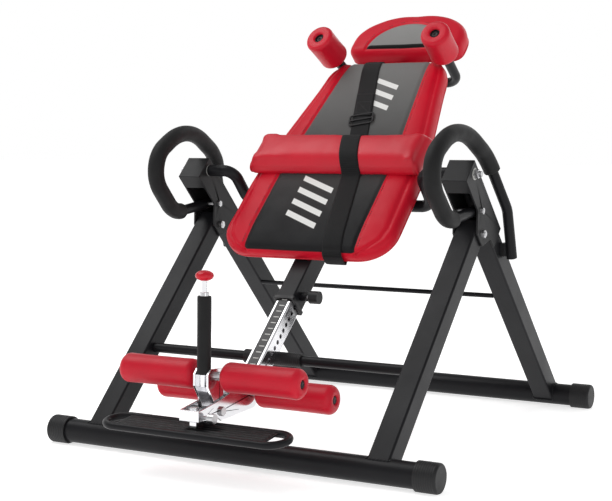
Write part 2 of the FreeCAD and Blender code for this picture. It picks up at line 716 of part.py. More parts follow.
def webbing():
    """The strap and its buckle."""
    band = strap()
    tail_start = size("CushionFoot") + 40.0
    open_length = size("BoomTop") + 1.0 - tail_start
    open_back = Part.makeBox(400, open_length, 60, Vector(-200, tail_start, size("BoardUnder") - 60.0))
    node(feature("lumbar_strap", band.cut(open_back)), "lumbar_strap", BED)
    frame = Part.makeBox(50, 30, 4, Vector(-25, -15, 0))
    window = Part.makeBox(42, 8, 6, Vector(-21, -11, -1))
    buckle = frame.cut(window).cut(window.translated(Vector(0, 14, 0)))
    buckle.rotate(Vector(0, 0, 0), Vector(0, 0, 1), -math.degrees(math.atan(STRAP_HEAD_SLANT)))
    y = 192.0
    buckle.translate(Vector(strap_centre(y), y, size("CushionTop") + size("StrapThick")))
    node(feature("strap_buckle", buckle), "strap_buckle", BED)


webbing()


# ---------------------------------------------------------------- head and shoulders
def head_post():
    """Flat tube that slides into the top of the boom and carries the head board."""
    height = 20.0
    low = size("HeadBoardUnder") - height
    outside = box("HeadPostOutside", "Sizes.InnerWidth", "220", "20", (-size("InnerWidth") / 2.0, 340, low))
    inside = box("HeadPostInside", "Sizes.InnerWidth - 4", "222", "16",
                 (-size("InnerWidth") / 2.0 + 2.0, 339, low + 2.0))
    node(cut("head_post", outside, inside), "head_post", BED)


def shoulder_way(side):
    """The direction of a shoulder post: it leans to the foot and splays out."""
    lean = math.tan(math.radians(size("ShoulderLean")))
    splay = math.tan(math.radians(size("ShoulderSplay")))
    return Vector(side * splay, -lean, 1.0)


def shoulder_point(side, height):
    """A point on a shoulder post's centre line, at a height above the bed's pivot line."""
    base = Vector(side * size("ShoulderOut"), size("ShoulderPlace"), size("ShoulderPadLow"))
    return base + shoulder_way(side) * (height - size("ShoulderPadLow"))


def shoulder_frame(side, height):
    """A placement on a shoulder post, with its Z along the post."""
    return BED * Placement(shoulder_point(side, height), Rotation(Vector(0, 0, 1), shoulder_way(side)))


def shoulder_bar():
    """Bent tube under the boom, with a welded tab, whose ends are posts for the shoulder pads."""
    low = size("BoomCentre") - size("BoomDepth") / 2.0 - size("ShoulderTube")
    high = size("ShoulderPadLow") + 0.9 * size("ShoulderPadLength")
    corners = [shoulder_point(-1, high), shoulder_point(-1, low),
               shoulder_point(1, low), shoulder_point(1, high)]
    path = bent_path(corners, [34.0, 34.0])
    tab_start = size("BoomTop") - 15.0
    tab = Part.makeBox(36.0, corners[1].y - tab_start, 5.0,
                       Vector(-18.0, tab_start, low + size("ShoulderTube") - 5.0))
    whole = swept(path, size("ShoulderTube")).fuse(tab).cut(swept(path, size("ShoulderTube") - 1.8))
    node(feature("shoulder_bar", whole), "shoulder_bar", BED)


def shoulder_sleeve(name, radius, length):
    """A ring that fits a shoulder post, standing on its own Z = 0."""
    outer = doc.addObject("Part::Cylinder", name + "Outer")
    outer.setExpression("Radius", radius)
    outer.setExpression("Height", length)
    bore = doc.addObject("Part::Cylinder", name + "Bore")
    bore.setExpression("Radius", "Sizes.ShoulderTube")
    bore.Height = 200.0
    bore.Placement = Placement(Vector(0, 0, -20), Rotation())
    return cut(name, outer, bore)


def shoulder_pad(side, name):
    """Foam roller on a shoulder post."""
    foam = shoulder_sleeve(name, "Sizes.ShoulderPadRadius", "Sizes.ShoulderPadLength")
    node(foam, name, shoulder_frame(side, size("ShoulderPadLow")))


def shoulder_collars():
    """Plastic collars under the shoulder rollers."""
    thick = 6.0
    rings = []
    for side, word in ((1, "Right"), (-1, "Left")):
        ring = shoulder_sleeve("ShoulderCollar" + word, "19", "%f" % thick)
        drop = thick * math.cos(math.radians(size("ShoulderLean")))
        ring.Placement = shoulder_frame(side, size("ShoulderPadLow") - drop)
        rings.append(ring)
    node(group("shoulder_collars", rings), "shoulder_collars")


head_post()
shoulder_bar()
both_sides(shoulder_pad, "shoulder_pad")
shoulder_collars()


# ---------------------------------------------------------------- boom adjustment
def boom_inner():
    """Chromed sliding tube with a row of adjustment holes in one side."""
    tube = rect_tube("boom_inner", "InnerWidth", "InnerDepth", size("InnerEnd"), size("InnerTop"))
    first = size("PinPlace") - 13 * size("HolePitch")
    drills = []
    for number in range(18):
        drills.append(cylinder_x("BoomHole%d" % number, "Sizes.HoleRadius", "8", x=size("InnerWidth") / 2.0,
                                 y=first + number * size("HolePitch"), z=size("BoomCentre")))
    axle = cylinder_x("BoomAxleHole", "Sizes.AxleRadius", "Sizes.InnerWidth + 6")
    local = BED.inverse().multVec(moved(0, size("RearAxleY"), size("RearAxleZ")).Base)
    axle.Placement = Placement(Vector(axle.Placement.Base.x, local.y, local.z), axle.Placement.Rotation)
    node(cut("boom_inner", cut("BoomInnerDrilled", tube, fuse("BoomDrills", drills)), axle),
         "boom_inner", BED)


def height_scale():
    """Printed scale strip on the front face of the inner tube."""
    front = size("BoomCentre") + size("InnerDepth") / 2.0
    node(box("height_scale", "22", "290", "0.5", (-11, -478, front)), "height_scale", BED)


def boom_pin():
    """Height pin with its knob, parked just clear of the holes."""
    face = size("BoomWidth") / 2.0
    y = size("PinPlace")
    z = size("BoomCentre")
    tip = size("InnerWidth") / 2.0 + 0.5
    shaft = cylinder_x("BoomPinShaft", "Sizes.PinRadius", "32.5", x=tip, y=y, z=z, centred=False)
    knob = cylinder_x("BoomPinKnob", "13", "20", x=face + 22, y=y, z=z, centred=False)
    bore = cylinder_x("BoomKnobBore", "Sizes.PinRadius", "10", x=face + 20, y=y, z=z, centred=False)
    node(cut("boom_pin_knob", knob, bore), "boom_pin_knob", BED)
    node(shaft, "boom_pin", BED)


boom_inner()
height_scale()
boom_pin()


# ---------------------------------------------------------------- ankle clamp
INNER_HALF = size("InnerWidth") / 2.0
BRACKET_PLATE = 4.0
ANKLE_OUTLINE = [(-362, 120), (-374, 152), (-394, 160), (-500, 130), (-575, size("BlockHigh")),
                 (-575, size("BlockLow")), (-512, size("BlockLow")), (-500, 90), (-385, 98)]


def ankle_bracket():
    """Two plates on the end of the inner tube, joined by the foot rest's block."""
    plates = []
    for side in (1, -1):
        wire = Part.makePolygon([Vector(0, *point) for point in ANKLE_OUTLINE + ANKLE_OUTLINE[:1]])
        plate = Part.Face(wire).extrude(Vector(side * BRACKET_PLATE, 0, 0))
        plate.translate(Vector(side * INNER_HALF, 0, 0))
        plates.append(plate)
    block_height = size("BlockHigh") - size("BlockLow")
    block = Part.makeBox(2 * INNER_HALF, 40, block_height, Vector(-INNER_HALF, -575, size("BlockLow")))
    solid = plates[0].fuse(plates[1]).fuse(block)
    drill = Vector(1, 0, 0)
    for y, z, radius in ((size("RearAxleY"), size("RearAxleZ"), size("AxleRadius")),
                         (size("ClampY"), size("ClampZ"), 6.0)):
        solid = solid.cut(Part.makeCylinder(radius, 80, Vector(-40, y, z), drill))
    well = Part.makeBox(14.8, 14.8, 40, Vector(-7.4, size("FootY") - 7.4, 88))
    pin_hole = Part.makeCylinder(3.0 + size("RunningGap"), 30, Vector(0, size("FootY"),
                                 size("FootPinZ")), drill)
    solid = solid.cut(well).cut(pin_hole).removeSplitter()
    node(feature("ankle_bracket", solid), "ankle_bracket", moved(0, 0, 0))


def clamp_arm():
    """Two plates that swing on the ankle bracket, with the front axle's holes and the lever tube."""
    ky, kz = size("ClampY"), size("ClampZ")
    ay, az = size("FrontAxleY"), size("FrontAxleZ")
    ly = size("LeverY")
    outline = [(ky - 12, kz - 4), (ky - 4, kz - 14), (ky + 10, kz - 10), (ky + 14, kz + 4), (ay + 15, az - 4),
               (ay + 10, az + 14), (ly - 2, az + 16), (ly - 11, az + 6), (ly - 11, size("LeverBase") + 2),
               (ky - 16, kz + 14)]
    plates = []
    for side in (1, -1):
        wire = Part.makePolygon([Vector(0, *point) for point in outline + outline[:1]])
        plate = Part.Face(wire).extrude(Vector(-side * 4.0, 0, 0))
        plate.translate(Vector(side * (INNER_HALF - 0.5), 0, 0))
        plates.append(plate)
    bridge = Part.makeBox(2 * INNER_HALF - 9.0, 8, 16, Vector(-INNER_HALF + 4.5, ay + 2, az - 32))
    height = size("LeverTop") - size("LeverBase")
    foot = Vector(0, ly, size("LeverBase"))
    stem = Part.makeCylinder(size("AxleRadius"), height, foot)
    ears = Part.makeBox(2 * INNER_HALF - 9.0, 5, 22, Vector(-INNER_HALF + 4.5, ly - 2.5, size("LeverBase")))
    solid = plates[0].fuse(plates[1]).fuse(bridge).fuse(ears).fuse(stem)
    solid = solid.cut(Part.makeCylinder(size("AxleRadius") - 2.0, height + 20.0, foot - Vector(0, 0, 10)))
    drill = Vector(1, 0, 0)
    solid = solid.cut(Part.makeCylinder(6.0 + size("RunningGap"), 60, Vector(-30, ky, kz), drill))
    solid = solid.cut(Part.makeCylinder(size("AxleRadius"), 60, Vector(-30, ay, az), drill))
    node(feature("clamp_arm", solid), "clamp_arm", moved(0, 0, 0))


def clamp_hinge():
    """Hinge bolt of the clamp in the bracket, and the bushes pressed into the swinging arm."""
    bolt = fuse("ClampBolt", [cylinder_x("ClampShank", "6", "2 * (%f)" % (INNER_HALF + BRACKET_PLATE)),
                              hexagon("ClampHead", 9.0, 5.0, INNER_HALF + BRACKET_PLATE, 1),
                              hexagon("ClampNut", 9.0, 6.0, -INNER_HALF - BRACKET_PLATE, -1)])
    place = moved(0, size("ClampY"), size("ClampZ"))
    node(bolt, "clamp_hinge_bolt", place)


def roller_axle(name, y, z):
    """Plated axle tube that carries a pair of foam rollers."""
    half = size("RollerStart") + size("RollerLength") - 4.0
    outer = cylinder_x(name + "Outer", "Sizes.AxleRadius", "%f" % (2 * half))
    bore = cylinder_x(name + "Bore", "Sizes.AxleRadius - 2", "%f" % (2 * half + 4))
    node(cut(name, outer, bore), name, moved(0, y, z))


def roller_pair(name, y, z):
    """Two foam rollers that turn on an axle."""
    for side, word in ((1, "right"), (-1, "left")):
        x = side * (size("RollerStart") + size("RollerLength") / 2.0)
        label = "%s_roller_%s" % (name, word)
        foam = cylinder_x(label + "Foam", "Sizes.RollerRadius", "Sizes.RollerLength", x=x)
        bore = cylinder_x(label + "Bore", "Sizes.AxleRadius + Sizes.RunningGap",
                          "Sizes.RollerLength + 4", x=x)
        node(cut(label, foam, bore), label, moved(0, y, z))


def lever():
    """Grip of the clamp lever, and the release rod with a flat round knob."""
    y = size("LeverY")
    base = size("LeverBase")
    grip = doc.addObject("Part::Cylinder", "GripOuter")
    grip.Radius = 12.5
    grip.setExpression("Height", "Sizes.GripHigh - Sizes.GripLow")
    hole = doc.addObject("Part::Cylinder", "GripBore")
    hole.setExpression("Radius", "Sizes.AxleRadius")
    hole.Height = 200.0
    hole.Placement = Placement(Vector(0, 0, -10), Rotation())
    node(cut("lever_grip", grip, hole), "lever_grip", moved(0, y, size("GripLow")))
    rod = doc.addObject("Part::Cylinder", "release_rod")
    rod.Radius = 5.0
    rod.Height = 194.0
    node(rod, "release_rod", moved(0, y, base + 6.0))
    ball = doc.addObject("Part::Ellipsoid", "BallRound")
    ball.Radius1 = 10.0
    ball.Radius2 = 17.0
    socket = doc.addObject("Part::Cylinder", "BallSocket")
    socket.Radius = 5.0
    socket.Height = 25.0
    socket.Placement = Placement(Vector(0, 0, -28), Rotation())
    node(cut("release_knob", ball, socket), "release_knob", moved(0, y, base + 203.0))


ankle_bracket()
clamp_arm()
clamp_hinge()
roller_axle("rear_roller_axle", size("RearAxleY"), size("RearAxleZ"))
roller_axle("front_roller_axle", size("FrontAxleY"), size("FrontAxleZ"))
roller_pair("rear", size("RearAxleY"), size("RearAxleZ"))
roller_pair("front", size("FrontAxleY"), size("FrontAxleZ"))
lever()


# ---------------------------------------------------------------- foot rest
def foot_rest():
    """Racetrack loop with a ribbed tread, on a square post in the bracket's block."""
    place = moved(0, size("FootY"), size("FootZ"), size("FootTilt"))
    half = size("FootHalf")
    bend = size("FootWidth") / 2.0 - 7.0
    straight = half - 7.0 - bend
    edges = [Part.LineSegment(Vector(-straight, -bend, 0), Vector(straight, -bend, 0)).toShape(),
             Part.Arc(Vector(straight, -bend, 0), Vector(straight + bend, 0, 0),
                      Vector(straight, bend, 0)).toShape(),
             Part.LineSegment(Vector(straight, bend, 0), Vector(-straight, bend, 0)).toShape(),
             Part.Arc(Vector(-straight, bend, 0), Vector(-straight - bend, 0, 0),
                      Vector(-straight, -bend, 0)).toShape()]
    loop = swept(Part.Wire(edges), 7.0)
    node(feature("foot_rest_loop", loop), "foot_rest_loop", place)
    depth = 2 * bend - 14.0
    tread = Part.makeBox(2 * straight, depth, 4.0, Vector(-straight, -depth / 2.0, 0))
    for number in range(5):
        offset = -depth / 2.0 + (number + 0.5) * depth / 5.0
        rib = Part.makeBox(2 * straight - 8.0, 3.0, 6.0, Vector(4.0 - straight, offset - 1.5, 0))
        tread = tread.fuse(rib)
    tread_node = node(feature("foot_rest_tread", tread.removeSplitter()), "foot_rest_tread", place)
    post = Part.makeBox(14.0, 14.0, 38.2, Vector(-7.0, size("FootY") - 7.0, 82.8))
    under = tread_node.Shape.copy()
    under.translate(Vector(0, -SHIFT, 0))
    post = post.cut(under)
    for height in (size("FootPinZ"), size("FootPinZ") + size("FootTravel")):
        post = post.cut(Part.makeCylinder(3.4, 12, Vector(0, size("FootY"), height), Vector(1, 0, 0)))
    node(feature("foot_rest_post", post), "foot_rest_post", moved(0, 0, 0))
    shaft = cylinder_x("FootPinShaft", "3", "32", x=7.5, y=size("FootY"), z=size("FootPinZ"), centred=False)
    knob = cylinder_x("FootPinKnob", "9", "14", x=29.0, y=size("FootY"), z=size("FootPinZ"), centred=False)
    node(fuse("foot_pin", [shaft, knob]), "foot_pin", moved(0, 0, 0))


foot_rest()


# ---------------------------------------------------------------- rest angle of the bed
FIXED = ("rear_", "front_base", "front_end", "front_leg", "leg_", "handlebar_", "pivot_bracket",
         "pivot_bushes")


def turn_to_rest():
    """Turn the bed, all that rides on it, and the crossbar it lies on, about the pivot."""
    pivot = Vector(0, size("PivotY") + SHIFT, size("PivotZ"))
    turn = Placement(Vector(), Rotation(Vector(1, 0, 0), size("RestTurn")), pivot)
    doc.recompute()
    for part in NODES:
        stays = part.Label.startswith(FIXED) and "roller" not in part.Label
        if not stays:
            part.Placement = turn * part.Placement


turn_to_rest()

# ---------------------------------------------------------------- checks and export
doc.recompute()
for obj in doc.Objects:
    if "Invalid" in obj.State or "Error" in obj.State:
        raise RuntimeError("%s: %s" % (obj.Name, obj.State))
os.makedirs("parts", exist_ok=True)
for obj in NODES:
    if obj.Shape.isNull() or not obj.Shape.isValid() or not obj.Shape.Solids:
        raise RuntimeError("%s has no valid solid" % obj.Label)
    obj.Shape.exportStep("parts/%s.step" % obj.Label)
print(len(NODES), "nodes")
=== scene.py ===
"""Looks of the inversion table: cushions, rollers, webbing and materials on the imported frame."""
import json
import math

import bmesh
import bpy
from mathutils import Matrix, Vector, noise
from mathutils.bvhtree import BVHTree


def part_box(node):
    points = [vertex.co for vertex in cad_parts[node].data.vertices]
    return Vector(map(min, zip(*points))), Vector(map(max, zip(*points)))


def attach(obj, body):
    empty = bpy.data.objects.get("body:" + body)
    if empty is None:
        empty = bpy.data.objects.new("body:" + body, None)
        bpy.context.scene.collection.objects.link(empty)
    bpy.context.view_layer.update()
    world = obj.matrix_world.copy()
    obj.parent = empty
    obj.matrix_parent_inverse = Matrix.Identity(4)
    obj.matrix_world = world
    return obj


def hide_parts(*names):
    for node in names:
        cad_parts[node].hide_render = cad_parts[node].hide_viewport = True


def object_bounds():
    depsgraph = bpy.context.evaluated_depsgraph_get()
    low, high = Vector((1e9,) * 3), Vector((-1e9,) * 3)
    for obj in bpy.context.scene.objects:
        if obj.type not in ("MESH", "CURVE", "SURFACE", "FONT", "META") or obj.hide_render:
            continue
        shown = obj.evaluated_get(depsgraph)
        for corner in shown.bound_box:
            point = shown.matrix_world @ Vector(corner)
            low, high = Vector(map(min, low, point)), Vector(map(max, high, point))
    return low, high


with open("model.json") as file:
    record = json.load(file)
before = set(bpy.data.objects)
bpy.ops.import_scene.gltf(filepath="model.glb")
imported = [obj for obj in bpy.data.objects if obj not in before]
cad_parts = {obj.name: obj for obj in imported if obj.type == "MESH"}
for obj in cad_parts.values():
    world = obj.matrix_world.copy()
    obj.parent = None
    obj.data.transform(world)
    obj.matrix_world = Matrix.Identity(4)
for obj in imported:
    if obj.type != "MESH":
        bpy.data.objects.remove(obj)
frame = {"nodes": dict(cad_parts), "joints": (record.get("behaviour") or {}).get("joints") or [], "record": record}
CAD_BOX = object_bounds()
scene = bpy.context.scene

# ---------------- places, from the frame
JOINTS = {joint["name"]: joint for joint in frame["joints"]}
ACROSS = Vector((1, 0, 0))
PIVOT = Vector(JOINTS["bed_pivot"]["pos_m"])
SLOPE = Vector(JOINTS["boom_height"]["axis"]).normalized()
BED = Matrix.Translation(PIVOT) @ Matrix((ACROSS, SLOPE, ACROSS.cross(SLOPE))).transposed().to_4x4()
TO_BED = BED.inverted()


def node_box(node, inverse):
    """Lowest and highest corner of a CAD node, measured along turned axes."""
    points = [inverse @ vertex.co for vertex in frame["nodes"][node].data.vertices]
    low = Vector([min(point[axis] for point in points) for axis in range(3)])
    high = Vector([max(point[axis] for point in points) for axis in range(3)])
    return low, high


def bed_box(node):
    """Lowest and highest corner of a CAD node, measured along the bed."""
    return node_box(node, TO_BED)


BACK_LOW, BACK_HIGH = bed_box("back_cushion")
HEAD_LOW, HEAD_HIGH = bed_box("head_cushion")
LUMBAR_LOW, LUMBAR_HIGH = bed_box("lumbar_pad")
BACK_HALF = BACK_HIGH.x
PANEL_FOOT_HALF = 0.128
PANEL_HEAD_HALF = 0.098
PANEL_TAPER_FROM = 0.05
PANEL_TAPER = (PANEL_FOOT_HALF - PANEL_HEAD_HALF) / (BACK_HIGH.y - PANEL_TAPER_FROM)
STRAP_BEND = (0.047, 0.030)
STRAP_FOOT_SLANT = -0.15
STRAP_HEAD_SLANT = -0.243
STRAP_HALF = 0.022
STRAP_THICK = 0.0019


# ---------------- node materials
# A Mix node has a set of sockets for each kind of value, and names don't tell them apart.
MIX_VECTORS = (4, 5)
MIX_COLOURS = (6, 7)
VECTOR_RESULT = 1
COLOUR_RESULT = 2


class Look:
    """A node material, with short calls for the nodes that the looks share."""

    def __init__(self, name, **sockets):
        self.material = bpy.data.materials.new(name)
        self.material.use_nodes = True
        self.tree = self.material.node_tree
        self.shader = self.tree.nodes["Principled BSDF"]
        self.place = self.add("TexCoord").outputs["Object"]
        for socket, value in sockets.items():
            self.feed(self.shader.inputs[socket.replace("_", " ")], value)

    def feed(self, socket, value):
        """Link a socket, or set its value."""
        if isinstance(value, bpy.types.NodeSocket):
            self.tree.links.new(value, socket)
        elif isinstance(value, (tuple, list)) and len(value) == 3 and socket.type == "RGBA":
            socket.default_value = (*value, 1.0)
        else:
            socket.default_value = value

    def add(self, kind, settings=None, **inputs):
        """A node with its settings and its inputs."""
        node = self.tree.nodes.new("ShaderNode" + kind)
        for name, value in (settings or {}).items():
            setattr(node, name, value)
        for name, value in inputs.items():
            self.feed(node.inputs[name.replace("_", " ")], value)
        return node

    def noise(self, scale, detail=3.0, stretch=(1, 1, 1)):
        """Noise in metres, stretched along an axis if asked."""
        place = self.add("Mapping", Vector=self.place, Scale=stretch).outputs[0]
        return self.add("TexNoise", Vector=place, Scale=scale, Detail=detail).outputs[0]

    def cells(self, scale, feature="F1"):
        """Rounded cells, for grain and foam."""
        return self.add("TexVoronoi", {"feature": feature}, Vector=self.place,
                        Scale=scale).outputs["Distance"]

    def bands(self, period, axis):
        """Fine parallel ridges across one axis."""
        return self.add("TexWave", {"bands_direction": axis}, Vector=self.place,
                        Scale=math.pi / 10.0 / period, Distortion=0.0).outputs["Fac"]

    def axis(self, name):
        """One coordinate of the place."""
        return self.add("SeparateXYZ", Vector=self.place).outputs[name]

    def math(self, operation, first, second=0.0):
        """Arithmetic on sockets and numbers."""
        node = self.add("Math", {"operation": operation})
        for socket, value in zip(node.inputs, (first, second)):
            self.feed(socket, value)
        return node.outputs[0]

    def plus(self, first, second):
        """The sum."""
        return self.math("ADD", first, second)

    def minus(self, first, second):
        """The difference."""
        return self.math("SUBTRACT", first, second)

    def times(self, first, second):
        """The product."""
        return self.math("MULTIPLY", first, second)

    def spread(self, value, low, high, start=0.3, end=0.7):
        """Map a noise value to a range."""
        return self.add("MapRange", Value=value, From_Min=start, From_Max=end, To_Min=low,
                        To_Max=high).outputs[0]

    def blend(self, share, first, second):
        """Mix two colours by a share from 0 to 1."""
        node = self.add("Mix", {"data_type": "RGBA"}, Factor=share)
        for number, value in zip(MIX_COLOURS, (first, second)):
            self.feed(node.inputs[number], value)
        return node.outputs[COLOUR_RESULT]

    def bump(self, height, depth, strength=1.0, under=None):
        """Relief of a depth in metres, on top of another if given."""
        node = self.add("Bump", Height=height, Distance=depth, Strength=strength)
        if under is not None:
            self.feed(node.inputs["Normal"], under)
        return node.outputs[0]

    def finish(self, colour=None, roughness=None, normal=None):
        """Join the results to the shader."""
        for name, value in (("Base Color", colour), ("Roughness", roughness), ("Normal", normal)):
            if value is not None:
                self.feed(self.shader.inputs[name], value)
        return self.material


def shades(colour, amount):
    """A darker and a lighter shade of a colour."""
    return tuple(part * (1 - amount) for part in colour), tuple(part * (1 + amount) for part in colour)


def paint(name, colour, rough):
    """Powder coat: fine orange peel, faint rubbing marks and slow changes of gloss."""
    look = Look(name, Specular_IOR_Level=0.16)
    dark, light = shades(colour, 0.22)
    peel = look.bump(look.noise(700, 2), 0.00025, 0.35)
    rubs = look.noise(60, 6, (1, 14, 14))
    gloss = look.plus(look.spread(look.noise(9, 3), -0.05, 0.05), look.spread(rubs, -0.03, 0.05))
    return look.finish(look.blend(look.noise(14, 4), dark, light), look.plus(gloss, rough),
                       look.bump(rubs, 0.00004, 0.3, peel))


def metal(name, colour, rough, marks):
    """Plated steel: drawn marks along its length and a few cloudy spots."""
    look = Look(name, Metallic=1.0)
    dark, light = shades(colour, 0.06)
    drawn = look.noise(140, 5, (1, 12, 1))
    clouds = look.noise(25, 4)
    gloss = look.plus(look.spread(clouds, 0.0, marks), look.spread(drawn, 0.0, marks * 0.5))
    return look.finish(look.blend(clouds, dark, light), look.plus(gloss, rough),
                       look.bump(drawn, 0.00003, 0.25))


def moulded(name, colour, rough, grain=900.0, depth=0.00012, ribs=0.0):
    """Moulded plastic or rubber with a spark-eroded grain, and ribs around X if asked."""
    look = Look(name, Specular_IOR_Level=0.32)
    dark, light = shades(colour, 0.3)
    skin = look.bump(look.noise(grain, 4), depth, 0.6)
    if ribs:
        skin = look.bump(look.bands(ribs, "X"), 0.0005, 0.7, skin)
    scuffs = look.noise(45, 5)
    return look.finish(look.blend(scuffs, dark, light), look.spread(scuffs, rough - 0.06, rough + 0.08), skin)


def foam(name, colour, rough, sheen):
    """Closed-cell foam: small cells, soft mottling and a moulded skin."""
    look = Look(name, Sheen_Weight=sheen, Sheen_Roughness=0.4, Specular_IOR_Level=0.26)
    dark, light = shades(colour, 0.16)
    pores = look.bump(look.cells(620), 0.00022, 0.45)
    lumps = look.bump(look.noise(55, 3), 0.0009, 0.3, pores)
    mottled = look.plus(look.times(look.noise(22, 3), 0.7),
                        look.times(look.cells(620), 0.3))
    gloss = look.spread(look.noise(30, 3), rough, rough + 0.12)
    return look.finish(look.blend(mottled, dark, light), gloss, lumps)


def leather_relief(look):
    """Vinyl grain: pebbles with creases between them, over slow puckers."""
    pebbles = look.bump(look.cells(330, "DISTANCE_TO_EDGE"), 0.00030, 0.5)
    fine = look.bump(look.noise(900, 3), 0.0001, 0.4, pebbles)
    return look.bump(look.noise(26, 3, (1.0, 0.5, 1.0)), 0.0016, 0.35, fine)


RED = (0.56, 0.006, 0.022)
PANEL_DARK = (0.005, 0.005, 0.006)
# Painted sheen: the pale grey that the dark panels turn to at the head end stands in for reflected light.
PANEL_PAINTED_SHEEN = (0.300, 0.300, 0.292)
STRIPE = (0.80, 0.80, 0.78)
PIPING = (0.003, 0.003, 0.003)


def vinyl(name):
    """Soft red vinyl."""
    look = Look(name, Specular_IOR_Level=0.35)
    dark, light = shades(RED, 0.14)
    return look.finish(look.blend(look.noise(12, 4), dark, light), look.spread(look.noise(20, 4), 0.34, 0.46),
                       leather_relief(look))


def panelled(name, inside, marks, ink):
    """Red vinyl with a woven dark panel, painted paler towards the head as painted sheen. inside and marks give
    their share from 0 to 1.
    """
    look = Look(name, Specular_IOR_Level=0.15)
    dark, light = shades(RED, 0.14)
    red = look.blend(look.noise(12, 4), dark, light)
    # Painted sheen: the panel colour runs from dark at the foot to pale grey at the head, standing in for the key
    # light's reflection.
    along = look.math("POWER", look.spread(look.axis("Y"), 0.0, 1.0, BACK_LOW.y + 0.06, HEAD_HIGH.y), 1.4)
    weave = look.times(look.bands(0.0016, "X"), look.bands(0.0016, "Y"))
    cloth = look.blend(along, PANEL_DARK, PANEL_PAINTED_SHEEN)
    cloth = look.blend(look.times(weave, 0.2), cloth, (0.08, 0.08, 0.08))
    cloth = look.blend(marks(look), cloth, ink)
    share = inside(look)
    relief = look.add("Mix", {"data_type": "VECTOR"}, Factor=share)
    for number, value in zip(MIX_VECTORS, (leather_relief(look), look.bump(weave, 0.00025, 0.6))):
        look.feed(relief.inputs[number], value)
    gloss = look.spread(look.noise(20, 4), 0.34, 0.46)
    rougher = look.plus(gloss, look.times(share, 0.12))
    return look.finish(look.blend(share, red, cloth), rougher, relief.outputs[VECTOR_RESULT])


def below(look, value, limit, soft=0.0006):
    """1 where a value is under a limit, 0 over it, with a soft edge."""
    gap = look.minus(limit, value)
    return look.spread(gap, 0.0, 1.0, -soft, soft)


def off_middle(look, value, pitch):
    """How far a value is from the middle of its step, in steps."""
    step = look.math("FRACT", look.math("DIVIDE", value, pitch))
    return look.math("ABSOLUTE", look.minus(step, 0.5))


def both(look, first, second):
    """1 only where both shares are 1."""
    return look.times(first, second)


def back_panel(look):
    """The long panel between the red borders, on the top face only."""
    across = look.math("ABSOLUTE", look.axis("X"))
    past = look.math("MAXIMUM", look.minus(look.axis("Y"), PANEL_TAPER_FROM), 0.0)
    edge = look.minus(PANEL_FOOT_HALF, look.times(past, PANEL_TAPER))
    top = below(look, BACK_HIGH.z - 0.0095, look.axis("Z"))
    return both(look, below(look, across, edge), top)


STRIPE_PITCH = 0.034
STRIPE_SETS = ((-0.136, 0.0, -0.060, 0.022), (0.235, 0.345, -0.002, 0.056))


def back_stripes(look):
    """Two sets of plain slanted bars."""
    marks = None
    x, y = look.axis("X"), look.axis("Y")
    slanted = look.plus(y, look.times(x, 0.45))
    bar = below(look, off_middle(look, slanted, STRIPE_PITCH), 0.22, 0.015)
    for start, end, left, right in STRIPE_SETS:
        inside = both(look, below(look, start, slanted), below(look, slanted, end))
        inside = both(look, inside, both(look, below(look, left, x), below(look, x, right)))
        inside = both(look, inside, bar)
        marks = inside if marks is None else look.math("MAXIMUM", marks, inside)
    return marks


HEAD_PANEL_HALF = 0.094
HEAD_PANEL_DEEP = 0.094
HEAD_PANEL_EDGE = 0.012


def head_panel(look):
    """The half-round panel on the top face of the head cushion."""
    x = look.math("DIVIDE", look.axis("X"), HEAD_PANEL_HALF)
    y = look.math("DIVIDE", look.minus(look.axis("Y"), HEAD_LOW.y), HEAD_PANEL_DEEP)
    radius = look.math("SQRT", look.plus(look.math("POWER", x, 2.0), look.math("POWER", y, 2.0)))
    past_edge = below(look, HEAD_LOW.y + HEAD_PANEL_EDGE, look.axis("Y"))
    top = below(look, HEAD_HIGH.z - 0.020, look.axis("Z"))
    return both(look, both(look, below(look, radius, 1.0, 0.008), past_edge), top)


def head_trim(look):
    """The black piping along the flat edge of the head panel."""
    return below(look, look.axis("Y"), HEAD_LOW.y + HEAD_PANEL_EDGE + 0.008)


def webbing():
    """Black woven strap with ribs across it and bright edges of thread."""
    look = Look("webbing", Sheen_Weight=0.04, Specular_IOR_Level=0.2)
    ribs = look.times(look.bands(0.0022, "Y"), look.bands(0.0014, "X"))
    colour = look.blend(ribs, (0.003, 0.003, 0.0035), (0.012, 0.012, 0.013))
    return look.finish(colour, look.spread(ribs, 0.62, 0.8, 0, 1), look.bump(ribs, 0.0004, 0.8))


TICK_PITCH = 0.015


def scale_print():
    """Black strip with a light tick at every hole and a longer one at every fifth."""
    look = Look("scale_print")
    low, high = bed_box("height_scale")
    pose = look.add("Mapping", Vector=look.place, Rotation=TO_BED.to_euler(),
                    Location=TO_BED.translation)
    parts = look.add("SeparateXYZ", Vector=pose.outputs[0])
    x, y = parts.outputs["X"], parts.outputs["Y"]
    tick = below(look, off_middle(look, look.minus(y, low.y), TICK_PITCH), 0.07, 0.01)
    band = both(look, below(look, low.x + 0.007, x), below(look, x, high.x - 0.003))
    margin = both(look, below(look, low.y + 0.004, y), below(look, y, high.y - 0.004))
    marks = both(look, both(look, tick, band), margin)
    grain = look.noise(500, 3)
    return look.finish(look.blend(marks, (0.014, 0.014, 0.015), (0.62, 0.62, 0.60)),
                       look.spread(grain, 0.38, 0.48), look.bump(grain, 0.00005, 0.3))


def plywood():
    """Board with a black backing cloth."""
    look = Look("board", Specular_IOR_Level=0.25)
    fibres = look.noise(300, 4)
    return look.finish(look.blend(fibres, (0.010, 0.010, 0.010), (0.035, 0.034, 0.033)),
                       look.spread(fibres, 0.75, 0.92), look.bump(fibres, 0.0004, 0.7))


